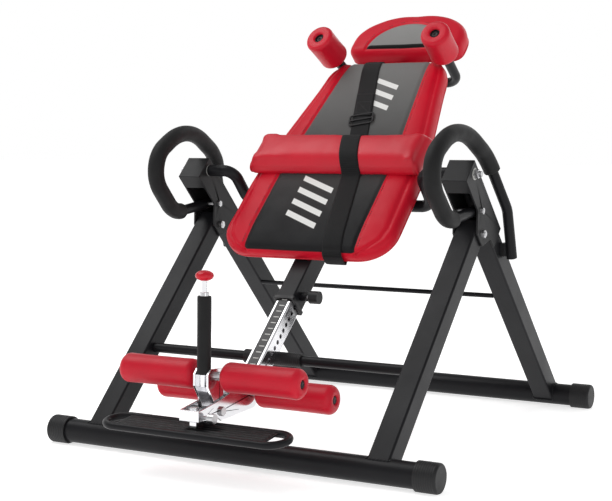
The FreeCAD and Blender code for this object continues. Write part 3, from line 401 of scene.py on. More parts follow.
FINISHES = {
    "frame_paint": paint("frame_paint", (0.009, 0.009, 0.0105), 0.36),
    "bracket_paint": paint("bracket_paint", (0.017, 0.017, 0.018), 0.38),
    "chrome": metal("chrome", (0.80, 0.80, 0.82), 0.06, 0.10),
    "zinc": metal("zinc", (0.60, 0.60, 0.61), 0.24, 0.14),
    "black_plastic": moulded("black_plastic", (0.008, 0.008, 0.009), 0.42),
    "cap_rubber": moulded("cap_rubber", (0.010, 0.010, 0.011), 0.52, 600.0, 0.0003, 0.0045),
    "grip_foam": foam("grip_foam", (0.0065, 0.0065, 0.007), 0.55, 0.03),
    "red_foam": foam("red_foam", (0.55, 0.005, 0.022), 0.34, 0.06),
    "pad_vinyl": vinyl("pad_vinyl"),
    "board": plywood(),
    "webbing": webbing(),
    "red_plastic": moulded("red_plastic", (0.56, 0.006, 0.02), 0.20, 500.0, 0.00004),
    "scale_print": scale_print(),
    "thread": moulded("thread", (0.05, 0.05, 0.05), 0.6),
    "nylon": moulded("nylon", (0.42, 0.42, 0.40), 0.40),
}
SLOTS = {part["node"]: part["material_slot"] for part in frame["record"]["subparts"]}
BODIES = {}
for body_name, members in frame["record"]["behaviour"]["bodies"].items():
    for member in members:
        BODIES[member] = body_name


# ---------------- mesh helpers
def mesh_piece(name, points, faces, matrix=None):
    """A smooth mesh object."""
    mesh = bpy.data.meshes.new(name)
    mesh.from_pydata([tuple(point) for point in points], [], faces)
    mesh.validate()
    mesh.shade_smooth()
    piece = bpy.data.objects.new(name, mesh)
    scene.collection.objects.link(piece)
    if matrix is not None:
        piece.matrix_world = matrix
    return piece


def bmesh_piece(name, bm, matrix):
    """An object from a bmesh, which is used up."""
    mesh = bpy.data.meshes.new(name)
    bm.to_mesh(mesh)
    bm.free()
    mesh.shade_smooth()
    piece = bpy.data.objects.new(name, mesh)
    scene.collection.objects.link(piece)
    piece.matrix_world = matrix
    return piece


def loft(bm, rows):
    """A tube through rows of points in a bmesh, closed at both ends."""
    rings = [[bm.verts.new(point) for point in row] for row in rows]
    count = len(rings[0])
    for lower, upper in zip(rings, rings[1:]):
        for step in range(count):
            after = (step + 1) % count
            bm.faces.new((lower[step], lower[after], upper[after], upper[step]))
    bm.faces.new(tuple(reversed(rings[0])))
    bm.faces.new(tuple(rings[-1]))


def face_outwards(piece):
    """Turn all faces the right way out."""
    bm = bmesh.new()
    bm.from_mesh(piece.data)
    bmesh.ops.recalc_face_normals(bm, faces=bm.faces)
    bm.to_mesh(piece.data)
    bm.free()


def dress(piece, body, slot, material=None, replaces=()):
    """Give a finished piece its material, its body and the CAD nodes that it stands for."""
    piece.data.materials.clear()
    piece.data.materials.append(material or FINISHES[slot])
    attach(piece, body)
    if replaces:
        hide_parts(*replaces)
    return piece


def evaluated_mesh(piece):
    """The piece's mesh with its modifiers."""
    graph = bpy.context.evaluated_depsgraph_get()
    return bpy.data.meshes.new_from_object(piece.evaluated_get(graph), depsgraph=graph)


def apply_modifiers(piece):
    """Turn the modifiers into mesh."""
    mesh = evaluated_mesh(piece)
    piece.modifiers.clear()
    piece.data = mesh
    mesh.shade_smooth()


def weld_seams(piece):
    """Join the split points along the edges of a CAD mesh."""
    weld = piece.modifiers.new("Weld", "WELD")
    weld.merge_threshold = 0.00002


def remesh(piece, voxel):
    """Even small faces all over."""
    modifier = piece.modifiers.new("Remesh", "REMESH")
    modifier.mode = "VOXEL"
    modifier.voxel_size = voxel
    apply_modifiers(piece)


def soften(piece, rounds):
    """Smooth the whole surface."""
    modifier = piece.modifiers.new("Smooth", "SMOOTH")
    modifier.iterations = rounds
    modifier.factor = 0.5
    apply_modifiers(piece)


def subdivide(piece):
    """One level of subdivision."""
    modifier = piece.modifiers.new("Subdivision", "SUBSURF")
    modifier.levels = 1
    modifier.render_levels = 1
    apply_modifiers(piece)


def rings_to_faces(count, rows, closed_rows=False):
    """Quads between rows of points that each close on themselves."""
    faces = []
    spans = rows if closed_rows else rows - 1
    for row in range(spans):
        upper = (row + 1) % rows
        for step in range(count):
            after = (step + 1) % count
            faces.append((row * count + step, row * count + after,
                          upper * count + after, upper * count + step))
    return faces


def with_neighbours(ring):
    """Each point of a closed ring with the points before and after it."""
    return zip(ring[-1:] + ring[:-1], ring, ring[1:] + ring[:1])


def offset_outline(outline, inset):
    """Move an outline's points inwards."""
    moved = []
    for before, point, after in with_neighbours(outline):
        way = (after - before).normalized()
        moved.append(point + Vector((-way.y, way.x)) * inset)
    return moved


def block(name, outline, levels, matrix):
    """A closed block: the outline repeated at several heights and insets."""
    points = []
    for height, inset in levels:
        points += [Vector((point.x, point.y, height)) for point in offset_outline(outline, inset)]
    count = len(outline)
    faces = rings_to_faces(count, len(levels))
    faces.append(tuple(reversed(range(count))))
    faces.append(tuple(range((len(levels) - 1) * count, len(levels) * count)))
    return mesh_piece(name, points, faces, matrix)


CLOTH_FRAMES = 20
CLOTH_PRESSURE = 3.0
CLOTH_SIDEWAYS = 0.2
CLOTH_UPWARDS = 0.5


def inflate(piece, floor, cap):
    """Cloth simulation: the cover swells under pressure while its base stays on the board."""
    mesh = piece.data
    group = piece.vertex_groups.new(name="base")
    group.add([vertex.index for vertex in mesh.vertices if vertex.co.z < floor + 0.006], 1.0, "REPLACE")
    cloth = piece.modifiers.new("Cloth", "CLOTH")
    cloth.settings.use_pressure = True
    cloth.settings.uniform_pressure_force = CLOTH_PRESSURE
    cloth.settings.vertex_group_mass = "base"
    cloth.settings.effector_weights.gravity = 0.0
    cloth.point_cache.frame_end = CLOTH_FRAMES
    for number in range(1, CLOTH_FRAMES + 1):
        scene.frame_set(number)
    swollen = [vertex.co.copy() for vertex in evaluated_mesh(piece).vertices]
    piece.modifiers.clear()
    piece.vertex_groups.clear()
    scene.frame_set(1)
    steps = []
    for vertex, place in zip(mesh.vertices, swollen):
        step = place - vertex.co
        if step.length > cap:
            step *= cap / step.length
        steps.append(step)
    for _ in range(14):
        totals = [step.copy() for step in steps]
        counts = [1] * len(steps)
        for edge in mesh.edges:
            a, b = edge.vertices
            totals[a] += steps[b]
            totals[b] += steps[a]
            counts[a] += 1
            counts[b] += 1
        steps = [total / count for total, count in zip(totals, counts)]
    for vertex, step in zip(mesh.vertices, steps):
        vertex.co += Vector((step.x * CLOTH_SIDEWAYS, step.y * CLOTH_SIDEWAYS, step.z * CLOTH_UPWARDS))


def carve(piece, depth_at):
    """Press sewn lines into a surface: depth_at gives how far a point moves in."""
    mesh = piece.data
    moves = [vertex.normal * -depth_at(vertex.co) for vertex in mesh.vertices]
    for vertex, step in zip(mesh.vertices, moves):
        vertex.co += step


def keep_within(piece, floor, ceiling):
    """Flatten the base on its board, and scale the crown to the pad's height."""
    top = max(vertex.co.z for vertex in piece.data.vertices)
    for vertex in piece.data.vertices:
        share = max(0.0, (vertex.co.z - floor) / (top - floor))
        vertex.co.z = floor + share * (ceiling - floor)


def groove(distance, depth, width):
    """The depth of a sewn groove at a distance from its line."""
    return depth * math.exp(-(distance / width) ** 2)


def arc_points(centre, radius_x, radius_y, start, end, count):
    """Points on an arc, by angles in degrees."""
    points = []
    for number in range(count + 1):
        angle = math.radians(start + (end - start) * number / count)
        points.append(Vector((centre[0] + radius_x * math.cos(angle),
                              centre[1] + radius_y * math.sin(angle))))
    return points


def mirror_outline(right):
    """An outline from its right half, given from the foot to the head."""
    return right + [Vector((-point.x, point.y)) for point in reversed(right)]


def cover_tree(cover):
    """The surface of a cover, for finding places on it."""
    mesh = cover.data
    return BVHTree.FromPolygons([vertex.co for vertex in mesh.vertices],
                                [tuple(polygon.vertices) for polygon in mesh.polygons])


def resampled(outline, step):
    """The same closed outline with even steps."""
    places = []
    for start, end in zip(outline, outline[1:] + outline[:1]):
        count = max(1, round((end - start).length / step))
        places += [start.lerp(end, number / count) for number in range(count)]
    return places


def welt(name, cover, outline, height, radius, body):
    """A sewn piping cord around the side of a cover."""
    tree = cover_tree(cover)
    outline = resampled(outline, 0.006)
    ring = []
    for before, point, after in with_neighbours(outline):
        way = (after - before).normalized()
        out = Vector((way.y, -way.x, 0.0))
        start = Vector((point.x, point.y, height)) + out * 0.05
        hit = tree.ray_cast(start, -out)[0]
        if hit is not None and (hit - start).length < 0.08:
            ring.append(hit + out * radius * 0.25)
    for _ in range(4):
        ring = [(a + b * 2 + c) / 4 for a, b, c in with_neighbours(ring)]
    points = []
    for before, point, after in with_neighbours(ring):
        way = (after - before).normalized()
        side = Vector((way.y, -way.x, 0.0)).normalized()
        for step in range(8):
            angle = math.pi * step / 4
            points.append(point + (side * math.cos(angle) + Vector((0, 0, 1)) * math.sin(angle)) * radius)
    piece = mesh_piece(name, points, rings_to_faces(8, len(ring), closed_rows=True), BED)
    dress(piece, body, "pad_vinyl")


# ---------------- back cushion
CORNER = 0.070
# Places along the bed past its widest part, and how far in the cushion's side is there.
BACK_SIDE = ((0.045, 0.002), (0.17, 0.021), (0.290, 0.041), (BACK_HIGH.y - 0.052, 0.050),
             (BACK_HIGH.y - 0.030, 0.057), (BACK_HIGH.y, 0.082))
WRAP = 0.0055


def back_outline():
    """Rounded foot corners, a waist, and cut corners at the head."""
    right = arc_points((BACK_HALF - CORNER, BACK_LOW.y + CORNER), CORNER, CORNER, -90, 0, 8)
    right.append(Vector((BACK_HALF, 0.0)))
    right += [Vector((BACK_HALF - inset, along)) for along, inset in BACK_SIDE]
    return mirror_outline(right)


def side_edge(along):
    """Half width of the cushion at a place along the bed."""
    foot = BACK_LOW.y
    insets = ((foot, 0.060), (foot + 0.012, 0.032), (foot + 0.040, 0.008), (foot + CORNER, 0.0)) + BACK_SIDE
    places = [(place, BACK_HALF - inset) for place, inset in insets]
    for (start, near), (end, far) in zip(places, places[1:]):
        if along < end:
            return near + (far - near) * max(0.0, along - start) / (end - start)
    return places[-1][1]


def panel_edge(along):
    """Half width of the panel at a place along the bed."""
    return PANEL_FOOT_HALF - PANEL_TAPER * max(0.0, along - PANEL_TAPER_FROM)


def back_cushion():
    """The long cushion: crowned top, red borders, and a dark panel between two sewn lines."""
    floor, top = BACK_LOW.z - WRAP, BACK_HIGH.z
    levels = [(floor, 0.009), (floor + 0.004, 0.003), (floor + 0.010, 0.001), (top - 0.014, 0.001),
              (top - 0.008, 0.004), (top - 0.004, 0.012)]
    piece = block("back_cushion_cover", back_outline(), levels, BED)
    remesh(piece, 0.005)
    inflate(piece, floor, 0.011)
    soften(piece, 4)
    keep_within(piece, floor, top + 0.006)
    subdivide(piece)

    def depth_at(point):
        if point.z < top - 0.016:
            return 0.0
        across = abs(point.x)
        sewn = groove(across - panel_edge(point.y), 0.0032, 0.0042)
        welt = groove(across - side_edge(point.y) + 0.017, 0.0030, 0.0050)
        puckers = 0.0004 * noise.noise(Vector((point.x * 18, point.y * 70, 0)))
        return sewn + welt + puckers * math.exp(-((across - panel_edge(point.y)) / 0.015) ** 2)

    carve(piece, depth_at)
    cover = panelled("back_cover", back_panel, back_stripes, STRIPE)
    dress(piece, BODIES["back_cushion"], "pad_vinyl", cover, ["back_cushion"])
    welt("back_welt", piece, back_outline(), floor + 0.0045, 0.0021, BODIES["back_cushion"])
    return piece


def lumbar_outline():
    """A long pad with rounded ends."""
    half, foot, head = LUMBAR_HIGH.x - 0.003, LUMBAR_LOW.y, LUMBAR_HIGH.y
    corner = 0.012
    right = arc_points((half - corner, foot + corner), corner, corner, -90, 0, 4)
    right += arc_points((half - corner, head - corner), corner, corner, 0, 90, 4)
    return mirror_outline(right)


def lumbar_pad():
    """Half-round bolster, simulated tight, with sewn ends and a dent under the strap."""
    floor, top = LUMBAR_LOW.z, LUMBAR_HIGH.z
    rise = top - floor
    levels = [(floor, 0.004), (floor + rise * 0.25, 0.002), (floor + rise * 0.55, 0.007),
              (floor + rise * 0.80, 0.018), (floor + rise * 0.90, 0.030)]
    piece = block("lumbar_bolster", lumbar_outline(), levels, BED)
    remesh(piece, 0.0045)
    inflate(piece, floor, 0.010)
    soften(piece, 5)
    keep_within(piece, floor, top - 0.001)
    subdivide(piece)
    end = LUMBAR_HIGH.x

    def depth_at(point):
        seam = groove(end - 0.014 - abs(point.x), 0.0016, 0.0035)
        dent = 0.0022 / (1.0 + math.exp((abs(point.x - strap_x(point.y)) - 0.024) / 0.004))
        wrinkles = 0.0005 * noise.noise(Vector((point.x * 60, point.y * 16, point.z * 16)))
        return seam + (dent if point.z > floor + 0.01 else 0.0) + wrinkles

    carve(piece, depth_at)
    dress(piece, BODIES["lumbar_pad"], "pad_vinyl", None, ["lumbar_pad"])
    return piece


def head_outline():
    """D shape, flat towards the shoulders."""
    half, low, high = HEAD_HIGH.x, HEAD_LOW.y, HEAD_HIGH.y
    shoulder = low + 0.050
    right = arc_points((half - 0.024, low + 0.024), 0.024, 0.024, -90, 0, 4)
    right += arc_points((0.018, shoulder), half - 0.018, high - shoulder, 0, 88, 12)
    return mirror_outline(right)


def head_cushion():
    """D-shaped head cushion with a half-round panel and a dark trim along its flat side."""
    floor, top = HEAD_LOW.z - 0.004, HEAD_HIGH.z
    levels = [(floor, 0.009), (floor + 0.006, 0.002), (top - 0.016, 0.0), (top - 0.008, 0.005),
              (top - 0.004, 0.014)]
    piece = block("head_cushion_cover", head_outline(), levels, BED)
    remesh(piece, 0.0042)
    inflate(piece, floor, 0.009)
    soften(piece, 4)
    keep_within(piece, floor, top + 0.006)
    subdivide(piece)

    def depth_at(point):
        if point.z < top - 0.018:
            return 0.0
        x = point.x / HEAD_PANEL_HALF
        y = (point.y - HEAD_LOW.y) / HEAD_PANEL_DEEP
        radius = math.sqrt(x * x + y * y)
        past_edge = point.y - HEAD_LOW.y - HEAD_PANEL_EDGE
        edge = groove(past_edge, 0.0020, 0.0030) if radius < 1.0 else 0.0
        round_share = min(1.0, max(0.0, past_edge / 0.006 + 1.0))
        return max(groove((radius - 1.0) * HEAD_PANEL_HALF, 0.0030, 0.0040) * round_share, edge)

    carve(piece, depth_at)
    cover = panelled("head_cover", head_panel, head_trim, PIPING)
    dress(piece, BODIES["head_cushion"], "pad_vinyl", cover, ["head_cushion"])
    welt("head_welt", piece, head_outline(), floor + 0.0065, 0.0020, BODIES["head_cushion"])
    return piece


# ---------------- foam rollers
def turned(name, profile, matrix, segments=56, ripple=0.0):
    """A closed profile (radius, height) turned about Z."""
    points = []
    for radius, height in profile:
        for step in range(segments):
            angle = 2 * math.pi * step / segments
            place = Vector((radius * math.cos(angle), radius * math.sin(angle), height))
            grow = 1.0 + ripple * noise.noise(place * 25)
            points.append(Vector((place.x * grow, place.y * grow, height)))
    faces = rings_to_faces(segments, len(profile), closed_rows=True)
    piece = mesh_piece(name, points, faces, matrix)
    face_outwards(piece)
    return piece


def roller_profile(length, radius, bore, edge):
    """Foam sleeve with round ends and a slight waist, standing on Z = 0."""
    profile = [(bore, edge * 0.3), (bore + 0.0015, 0.0006), (bore + 0.004, 0.0)]
    steps = 8
    for number in range(steps + 1):
        angle = math.radians(90.0 * number / steps)
        profile.append((radius - edge + edge * math.sin(angle), edge - edge * math.cos(angle)))
    for share in (0.2, 0.35, 0.5, 0.65, 0.8):
        profile.append((radius - 0.0006 * math.sin(math.pi * share), length * share))
    for number in range(steps + 1):
        angle = math.radians(90.0 * number / steps)
        profile.append((radius - edge + edge * math.cos(angle), length - edge + edge * math.sin(angle)))
    profile += [(bore + 0.004, length), (bore + 0.0015, length - 0.0006), (bore, length - edge * 0.3)]
    profile += [(bore, length * share) for share in (0.75, 0.5, 0.25)]
    return profile


def foam_sleeve(node, profile, matrix):
    """The foam that stands for a roller of the frame."""
    piece = turned(node + "_foam", profile, matrix, ripple=0.006)
    dress(piece, BODIES[node], "red_foam", None, [node])


def ankle_rollers():
    """Four foam rollers on the two axles, each with a plug in the open end of the axle."""
    for node in ("rear_roller_right", "rear_roller_left", "front_roller_right", "front_roller_left"):
        low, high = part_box(node)
        middle = (low + high) / 2.0
        radius = (high.z - low.z) / 2.0
        start = Vector((low.x, middle.y, middle.z))
        matrix = Matrix.Translation(start) @ Matrix.Rotation(math.radians(90), 4, "Y")
        foam_sleeve(node, roller_profile(high.x - low.x, radius, 0.0083, 0.013), matrix)
    for node in ("rear_roller_axle", "front_roller_axle"):
        low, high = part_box(node)
        middle = (low + high) / 2.0
        for side, end in ((-1, low.x), (1, high.x)):
            profile = [(0.0001, 0.0), (0.0058, 0.0), (0.0058, 0.006), (0.0078, 0.0062), (0.0074, 0.0078),
                       (0.0001, 0.0086)]
            flip = Matrix.Rotation(math.radians(90 * side), 4, "Y")
            place = Matrix.Translation(Vector((end - side * 0.006, middle.y, middle.z))) @ flip
            name = "%s_plug_%s" % (node, "right" if side > 0 else "left")
            dress(turned(name, profile, place, 32), BODIES[node], "black_plastic")


SHOULDER_LEAN = 16.0
SHOULDER_SPLAY = 4.0


def shoulder_axes(side):
    """The turn of a shoulder post, which leans to the foot and splays out."""
    lean = math.tan(math.radians(SHOULDER_LEAN))
    splay = math.tan(math.radians(SHOULDER_SPLAY))
    return Vector((side * splay, -lean, 1.0)).to_track_quat("Z", "Y").to_matrix().to_4x4()


def shoulder_rollers():
    """Two foam rollers on the leaning shoulder posts, with an end plug in each post."""
    for side, node in ((1, "shoulder_pad_right"), (-1, "shoulder_pad_left")):
        axes = BED @ shoulder_axes(side)
        low, high = node_box(node, axes.inverted())
        middle = (low + high) / 2.0
        matrix = axes @ Matrix.Translation(Vector((middle.x, middle.y, low.z)))
        profile = roller_profile(high.z - low.z, (high.x - low.x) / 2.0, 0.0112, 0.009)
        foam_sleeve(node, profile, matrix)
        reach = low.z + 0.9 * (high.z - low.z)
        profile = [(0.0001, -0.006), (0.0085, -0.006), (0.0087, 0.0), (0.0104, 0.0002), (0.0100, 0.0018),
                   (0.0001, 0.0028)]
        place = axes @ Matrix.Translation(Vector((middle.x, middle.y, reach)))
        dress(turned(node + "_plug", profile, place, 32), BODIES[node], "black_plastic")


# ---------------- foam grips
def foam_grips():
    """Foam sleeves of the handlebars and of the lever: rounded ends and a slightly uneven skin."""
    for node, voxel in (("handlebar_grip_right", 0.0022), ("handlebar_grip_left", 0.0022),
                        ("lever_grip", 0.0013)):
        source = frame["nodes"][node]
        piece = bpy.data.objects.new(node + "_foam", source.data.copy())
        scene.collection.objects.link(piece)
        piece.matrix_world = source.matrix_world
        weld_seams(piece)
        remesh(piece, voxel)
        soften(piece, 5)
        carve(piece, lambda point: -0.0005 - 0.0003 * noise.noise(point * 40))
        dress(piece, BODIES[node], "grip_foam", None, [node])


# ---------------- webbing
def ribbon(name, path, half, thick, matrix):
    """A flat strap along a path of (place, across, out) in the matrix's frame."""
    section = []
    for number in range(13):
        across = -1.0 + 2.0 * number / 12
        section.append((across * half, thick * (1.0 - 0.35 * abs(across) ** 6)))
    section += [(across, 0.0) for across, _ in reversed(section)]
    points = []
    for place, across, out in path:
        points += [place + across * x + out * y for x, y in section]
    count = len(section)
    faces = rings_to_faces(count, len(path))
    faces.append(tuple(reversed(range(count))))
    faces.append(tuple(range((len(path) - 1) * count, len(path) * count)))
    return mesh_piece(name, points, faces, matrix)


def strap_x(along):
    """The strap's centre across the bed."""
    past = along - STRAP_BEND[1]
    return STRAP_BEND[0] + past * (STRAP_FOOT_SLANT if past < 0 else STRAP_HEAD_SLANT)


def drop_on(tree, x, y):
    """The place on a cover straight below a point well above the bed."""
    return tree.ray_cast(Vector((x, y, 0.2)), Vector((0, 0, -1)))[0]


def surface_height(trees, x, y, floor):
    """The highest cushion surface over a place on the bed."""
    best = floor
    for tree in trees:
        hit = drop_on(tree, x, y)
        if hit is not None:
            best = max(best, hit.z)
    return best


STRAP_STEP = 0.004
STRAP_TURN = 0.0105
STRAP_TURN_ROOM = 0.012


def strap_path(covers, foot, head, lift):
    """Over both ends of the bed and across the cushions, resting on what lies below."""
    trees = [cover_tree(cover) for cover in covers]
    count = int((head - foot) / STRAP_STEP)
    places = [foot + (head - foot) * number / count for number in range(count + 1)]
    floor = BACK_HIGH.z - 0.012
    heights = []
    for y in places:
        spots = [strap_x(y) + shift for shift in (-0.016, -0.008, 0.0, 0.008, 0.016)]
        heights.append(max(surface_height(trees, x, y, floor) for x in spots) + lift)
    for _ in range(3):
        middle = [(a + 2 * b + c) / 4 for a, b, c in zip(heights, heights[1:], heights[2:])]
        heights = heights[:1] + [max(a, b) for a, b in zip(middle, heights[1:-1])] + heights[-1:]
    return [Vector((strap_x(y), y, height)) for y, height in zip(places, heights)]


def with_frames(points):
    """Each point of a route with its across and outward directions."""
    path = []
    for before, point, after in zip(points[:1] + points[:-1], points, points[1:] + points[-1:]):
        ahead = (after - before).normalized()
        path.append((point, ACROSS, ACROSS.cross(ahead).normalized()))
    return path


def strap(covers):
    """The strap that holds the lumbar pad, from under the head end to under the foot end."""
    low, high = bed_box("lumbar_strap")
    low.y = BACK_LOW.y - 0.0045
    high.y = BACK_HIGH.y + 0.0065
    top = strap_path(covers, low.y + STRAP_TURN_ROOM, high.y - STRAP_TURN_ROOM, 0.0004)
    foot_turn = []
    head_turn = []
    for number in range(7):
        angle = math.radians(90.0 * number / 6)
        fall = STRAP_TURN * (1 - math.cos(angle))
        y = low.y + STRAP_TURN_ROOM - STRAP_TURN * math.sin(angle)
        foot_turn.append(Vector((strap_x(y), y, top[0].z - fall)))
        y = high.y - STRAP_TURN_ROOM + STRAP_TURN * math.sin(angle)
        head_turn.append(Vector((strap_x(y), y, top[-1].z - fall)))
    foot_drop = [Vector((strap_x(low.y), low.y + 0.0015, low.z + 0.006)),
                 Vector((strap_x(low.y), low.y + 0.004, low.z + 0.001)),
                 Vector((strap_x(low.y + 0.04), low.y + 0.040, low.z + 0.0002))]
    head_drop = [Vector((strap_x(high.y), high.y - 0.0015, low.z + 0.006)),
                 Vector((strap_x(high.y), high.y - 0.004, low.z + 0.001)),
                 Vector((strap_x(high.y), high.y - 0.014, low.z + 0.0002))]
    route = list(reversed(foot_drop)) + list(reversed(foot_turn[1:])) + top + head_turn[1:] + head_drop
    piece = ribbon("lumbar_webbing", with_frames(route), STRAP_HALF, STRAP_THICK, BED)
    dress(piece, BODIES["lumbar_strap"], "webbing", None, ["lumbar_strap"])
    return top


def stitch_line(bm, points, radius=0.0006, stitch=0.0042, gap=0.0018):
    """Short raised stitches along a line of points."""
    travelled = 0.0
    for start, end in zip(points, points[1:]):
        run = (end - start).length
        if run < 1e-6:
            continue
        way = (end - start) / run
        while travelled < run:
            a = start + way * travelled
            b = start + way * min(travelled + stitch, run)
            if (b - a).length > stitch * 0.5:
                add_stitch(bm, a, b, radius)
            travelled += stitch + gap
        travelled -= run


def add_stitch(bm, a, b, radius):
    """One stitch: a small bead with pinched ends."""
    way = (b - a).normalized()
    side = way.orthogonal().normalized()
    other = way.cross(side)
    rows = []
    for share, size in ((0.0, 0.35), (0.2, 0.9), (0.5, 1.0), (0.8, 0.9), (1.0, 0.35)):
        centre = a.lerp(b, share)
        row = []
        for step in range(6):
            angle = math.pi * step / 3
            way_out = side * math.cos(angle) + other * math.sin(angle)
            row.append(centre + way_out * radius * size)
        rows.append(row)
    loft(bm, rows)


THREAD_LIFT = Vector((0, 0, 0.0001))


def cover_stitches(name, cover, lines):
    """Stitches that follow lines of (x, y) on a cover of the bed."""
    tree = cover_tree(cover)
    bm = bmesh.new()
    for line in lines:
        hits = [drop_on(tree, x, y) for x, y in line]
        stitch_line(bm, [hit + THREAD_LIFT for hit in hits if hit is not None])
    dress(bmesh_piece(name, bm, BED), BODIES["back_cushion"], "pad_vinyl", FINISHES["thread"])


SEAM_TO_STITCHES = 0.0065


def panel_lines():
    """A row of stitches beside each edge of the panel."""
    lines = []
    count = 110
    for side in (-1, 1):
        line = []
        for number in range(count + 1):
            y = BACK_LOW.y + 0.016 + (BACK_HIGH.y - BACK_LOW.y - 0.030) * number / count
            line.append((side * (panel_edge(y) + SEAM_TO_STITCHES), y))
        lines.append(line)
    return lines


def head_lines():
    """Stitches round the head panel."""
    line = []
    for number in range(61):
        angle = math.radians(4 + 172 * number / 60)
        x = (HEAD_PANEL_HALF + SEAM_TO_STITCHES) * math.cos(angle)
        line.append((x, HEAD_LOW.y + 0.006 + (HEAD_PANEL_DEEP + 0.0005) * math.sin(angle)))
    return [line]


def rounded_frame(name, width, height, bar, matrix):
    """A buckle: a rounded frame with one cross bar, from rods of nearly round section."""
    bm = bmesh.new()

    def rod(a, b, radius):
        way = (b - a).normalized()
        side = Vector((0, 0, 1))
        other = way.cross(side)
        rows = []
        for place in (a, b):
            row = []
            for step in range(12):
                angle = 2 * math.pi * step / 12
                row.append(place + side * radius * 0.8 * math.cos(angle) + other * radius * math.sin(angle))
            rows.append(row)
        loft(bm, rows)

    half_w, half_h, corner = width / 2, height / 2, 0.006
    ring = []
    for cx, cy, start in ((half_w - corner, half_h - corner, 0), (corner - half_w, half_h - corner, 90),
                          (corner - half_w, corner - half_h, 180), (half_w - corner, corner - half_h, 270)):
        quarter = arc_points((cx, cy), corner, corner, start, start + 90, 5)
        ring += [Vector((point.x, point.y, 0)) for point in quarter]
    for a, b in zip(ring, ring[1:] + ring[:1]):
        if (b - a).length > 1e-5:
            rod(a, b, bar)
    rod(Vector((-half_w, 0, 0)), Vector((half_w, 0, 0)), bar)
    piece = bmesh_piece(name, bm, matrix)
    remesh(piece, 0.0006)
    soften(piece, 2)
    return piece


def buckle(top):
    """The sliding buckle on the strap, above the lumbar pad."""
    low, high = bed_box("strap_buckle")
    middle = (low + high) / 2
    near = min(top, key=lambda point: abs(point.y - middle.y))
    turn = Matrix.Rotation(-math.atan(STRAP_HEAD_SLANT), 4, "Z")
    place = BED @ Matrix.Translation(Vector((near.x, near.y, near.z + 0.0032))) @ turn
    piece = rounded_frame("strap_slider", 0.054, 0.032, 0.0022, place)
    dress(piece, BODIES["strap_buckle"], "black_plastic", None, ["strap_buckle"])


def strap_tail(top):
    """The strap's free end, folded back through the slider and sewn down with a box of stitches."""
    low, high = bed_box("strap_buckle")
    middle = (low.y + high.y) / 2
    route = [point + Vector((0, 0, 0.0021)) for point in top if middle + 0.010 < point.y < middle + 0.085]
    tail = ribbon("strap_tail", with_frames(route), STRAP_HALF - 0.0005, 0.0017, BED)
    dress(tail, BODIES["lumbar_strap"], "webbing")
    bm = bmesh.new()
    first, last = route[2], route[11]
    lift = Vector((0, 0, STRAP_THICK))
    left, right = Vector((-STRAP_HALF * 0.72, 0, 0)), Vector((STRAP_HALF * 0.72, 0, 0))
    corners = [first + left + lift, first + right + lift, last + right + lift, last + left + lift]
    for a, b in ((0, 1), (1, 2), (2, 3), (3, 0), (0, 2), (1, 3)):
        stitch_line(bm, [corners[a], corners[b]], 0.00045, 0.0030, 0.0014)
    dress(bmesh_piece("tail_stitches", bm, BED), BODIES["lumbar_strap"], "webbing", FINISHES["thread"])


# ---------------- metal and plastic detail
BEVELLED = {
    "pivot_bracket_left": 0.0012, "pivot_bracket_right": 0.0012, "ankle_bracket": 0.0010,
    "clamp_arm": 0.0010, "foot_rest_tread": 0.0012, "handlebar_saddles": 0.0015,
    "boom_collar": 0.0015, "rear_stretcher": 0.0010,
}


def round_edges():
    """Small radii on the cut edges of plates and blocks."""
    for name, width in BEVELLED.items():
        node = frame["nodes"][name]
        weld_seams(node)
        bevel = node.modifiers.new("Bevel", "BEVEL")
        bevel.width = width
        bevel.segments = 2
        bevel.limit_method = "ANGLE"
        bevel.angle_limit = math.radians(50)
        bevel.harden_normals = True


def bead(name, ring, radius, body):
    """A weld: a closed rippled bead along a ring of points."""
    points = []
    for number, (before, point, after) in enumerate(with_neighbours(ring)):
        way = (after - before).normalized()
        side = way.orthogonal().normalized()
        other = way.cross(side)
        swell = radius * (1.0 + 0.22 * math.sin(number * 1.9) + 0.1 * noise.noise(point * 300))
        for step in range(8):
            angle = math.pi * step / 4
            points.append(point + (side * math.cos(angle) + other * math.sin(angle)) * swell)
    piece = mesh_piece(name, points, rings_to_faces(8, len(ring), closed_rows=True))
    face_outwards(piece)
    dress(piece, body, "frame_paint")


def leg_welds():
    """Welds where the square legs meet the round base tubes."""
    hinge = Vector(JOINTS["frame_fold"]["pos_m"])
    for end in ("front", "rear"):
        low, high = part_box(end + "_base_tube")
        centre = (low + high) / 2.0
        radius = (high.z - low.z) / 2.0
        up = Vector((0.0, hinge.y - centre.y, hinge.z - centre.z)).normalized()
        cross = Vector((0.0, -up.z, up.y))
        for side in ("right", "left"):
            leg_low, leg_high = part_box("%s_leg_%s" % (end, side))
            middle = (leg_low.x + leg_high.x) / 2.0
            half = (leg_high.x - leg_low.x) / 2.0
            outline = [Vector((half * x, half * y)) for x, y in ((1, -1), (1, 1), (-1, 1), (-1, -1))]
            ring = []
            for place in resampled(outline, 0.0022):
                reach = math.sqrt(max(radius * radius - place.y * place.y, 0.0))
                spot = Vector((middle + place.x, centre.y, centre.z)) + cross * place.y + up * reach
                ring.append(spot)
            bead("weld_%s_%s" % (end, side), ring, 0.0021, BODIES["%s_leg_%s" % (end, side)])


def carry_over():
    """Give every CAD node that stays its own procedural finish."""
    for name, node in frame["nodes"].items():
        node.data.materials.clear()
        node.data.materials.append(FINISHES[SLOTS[name]])


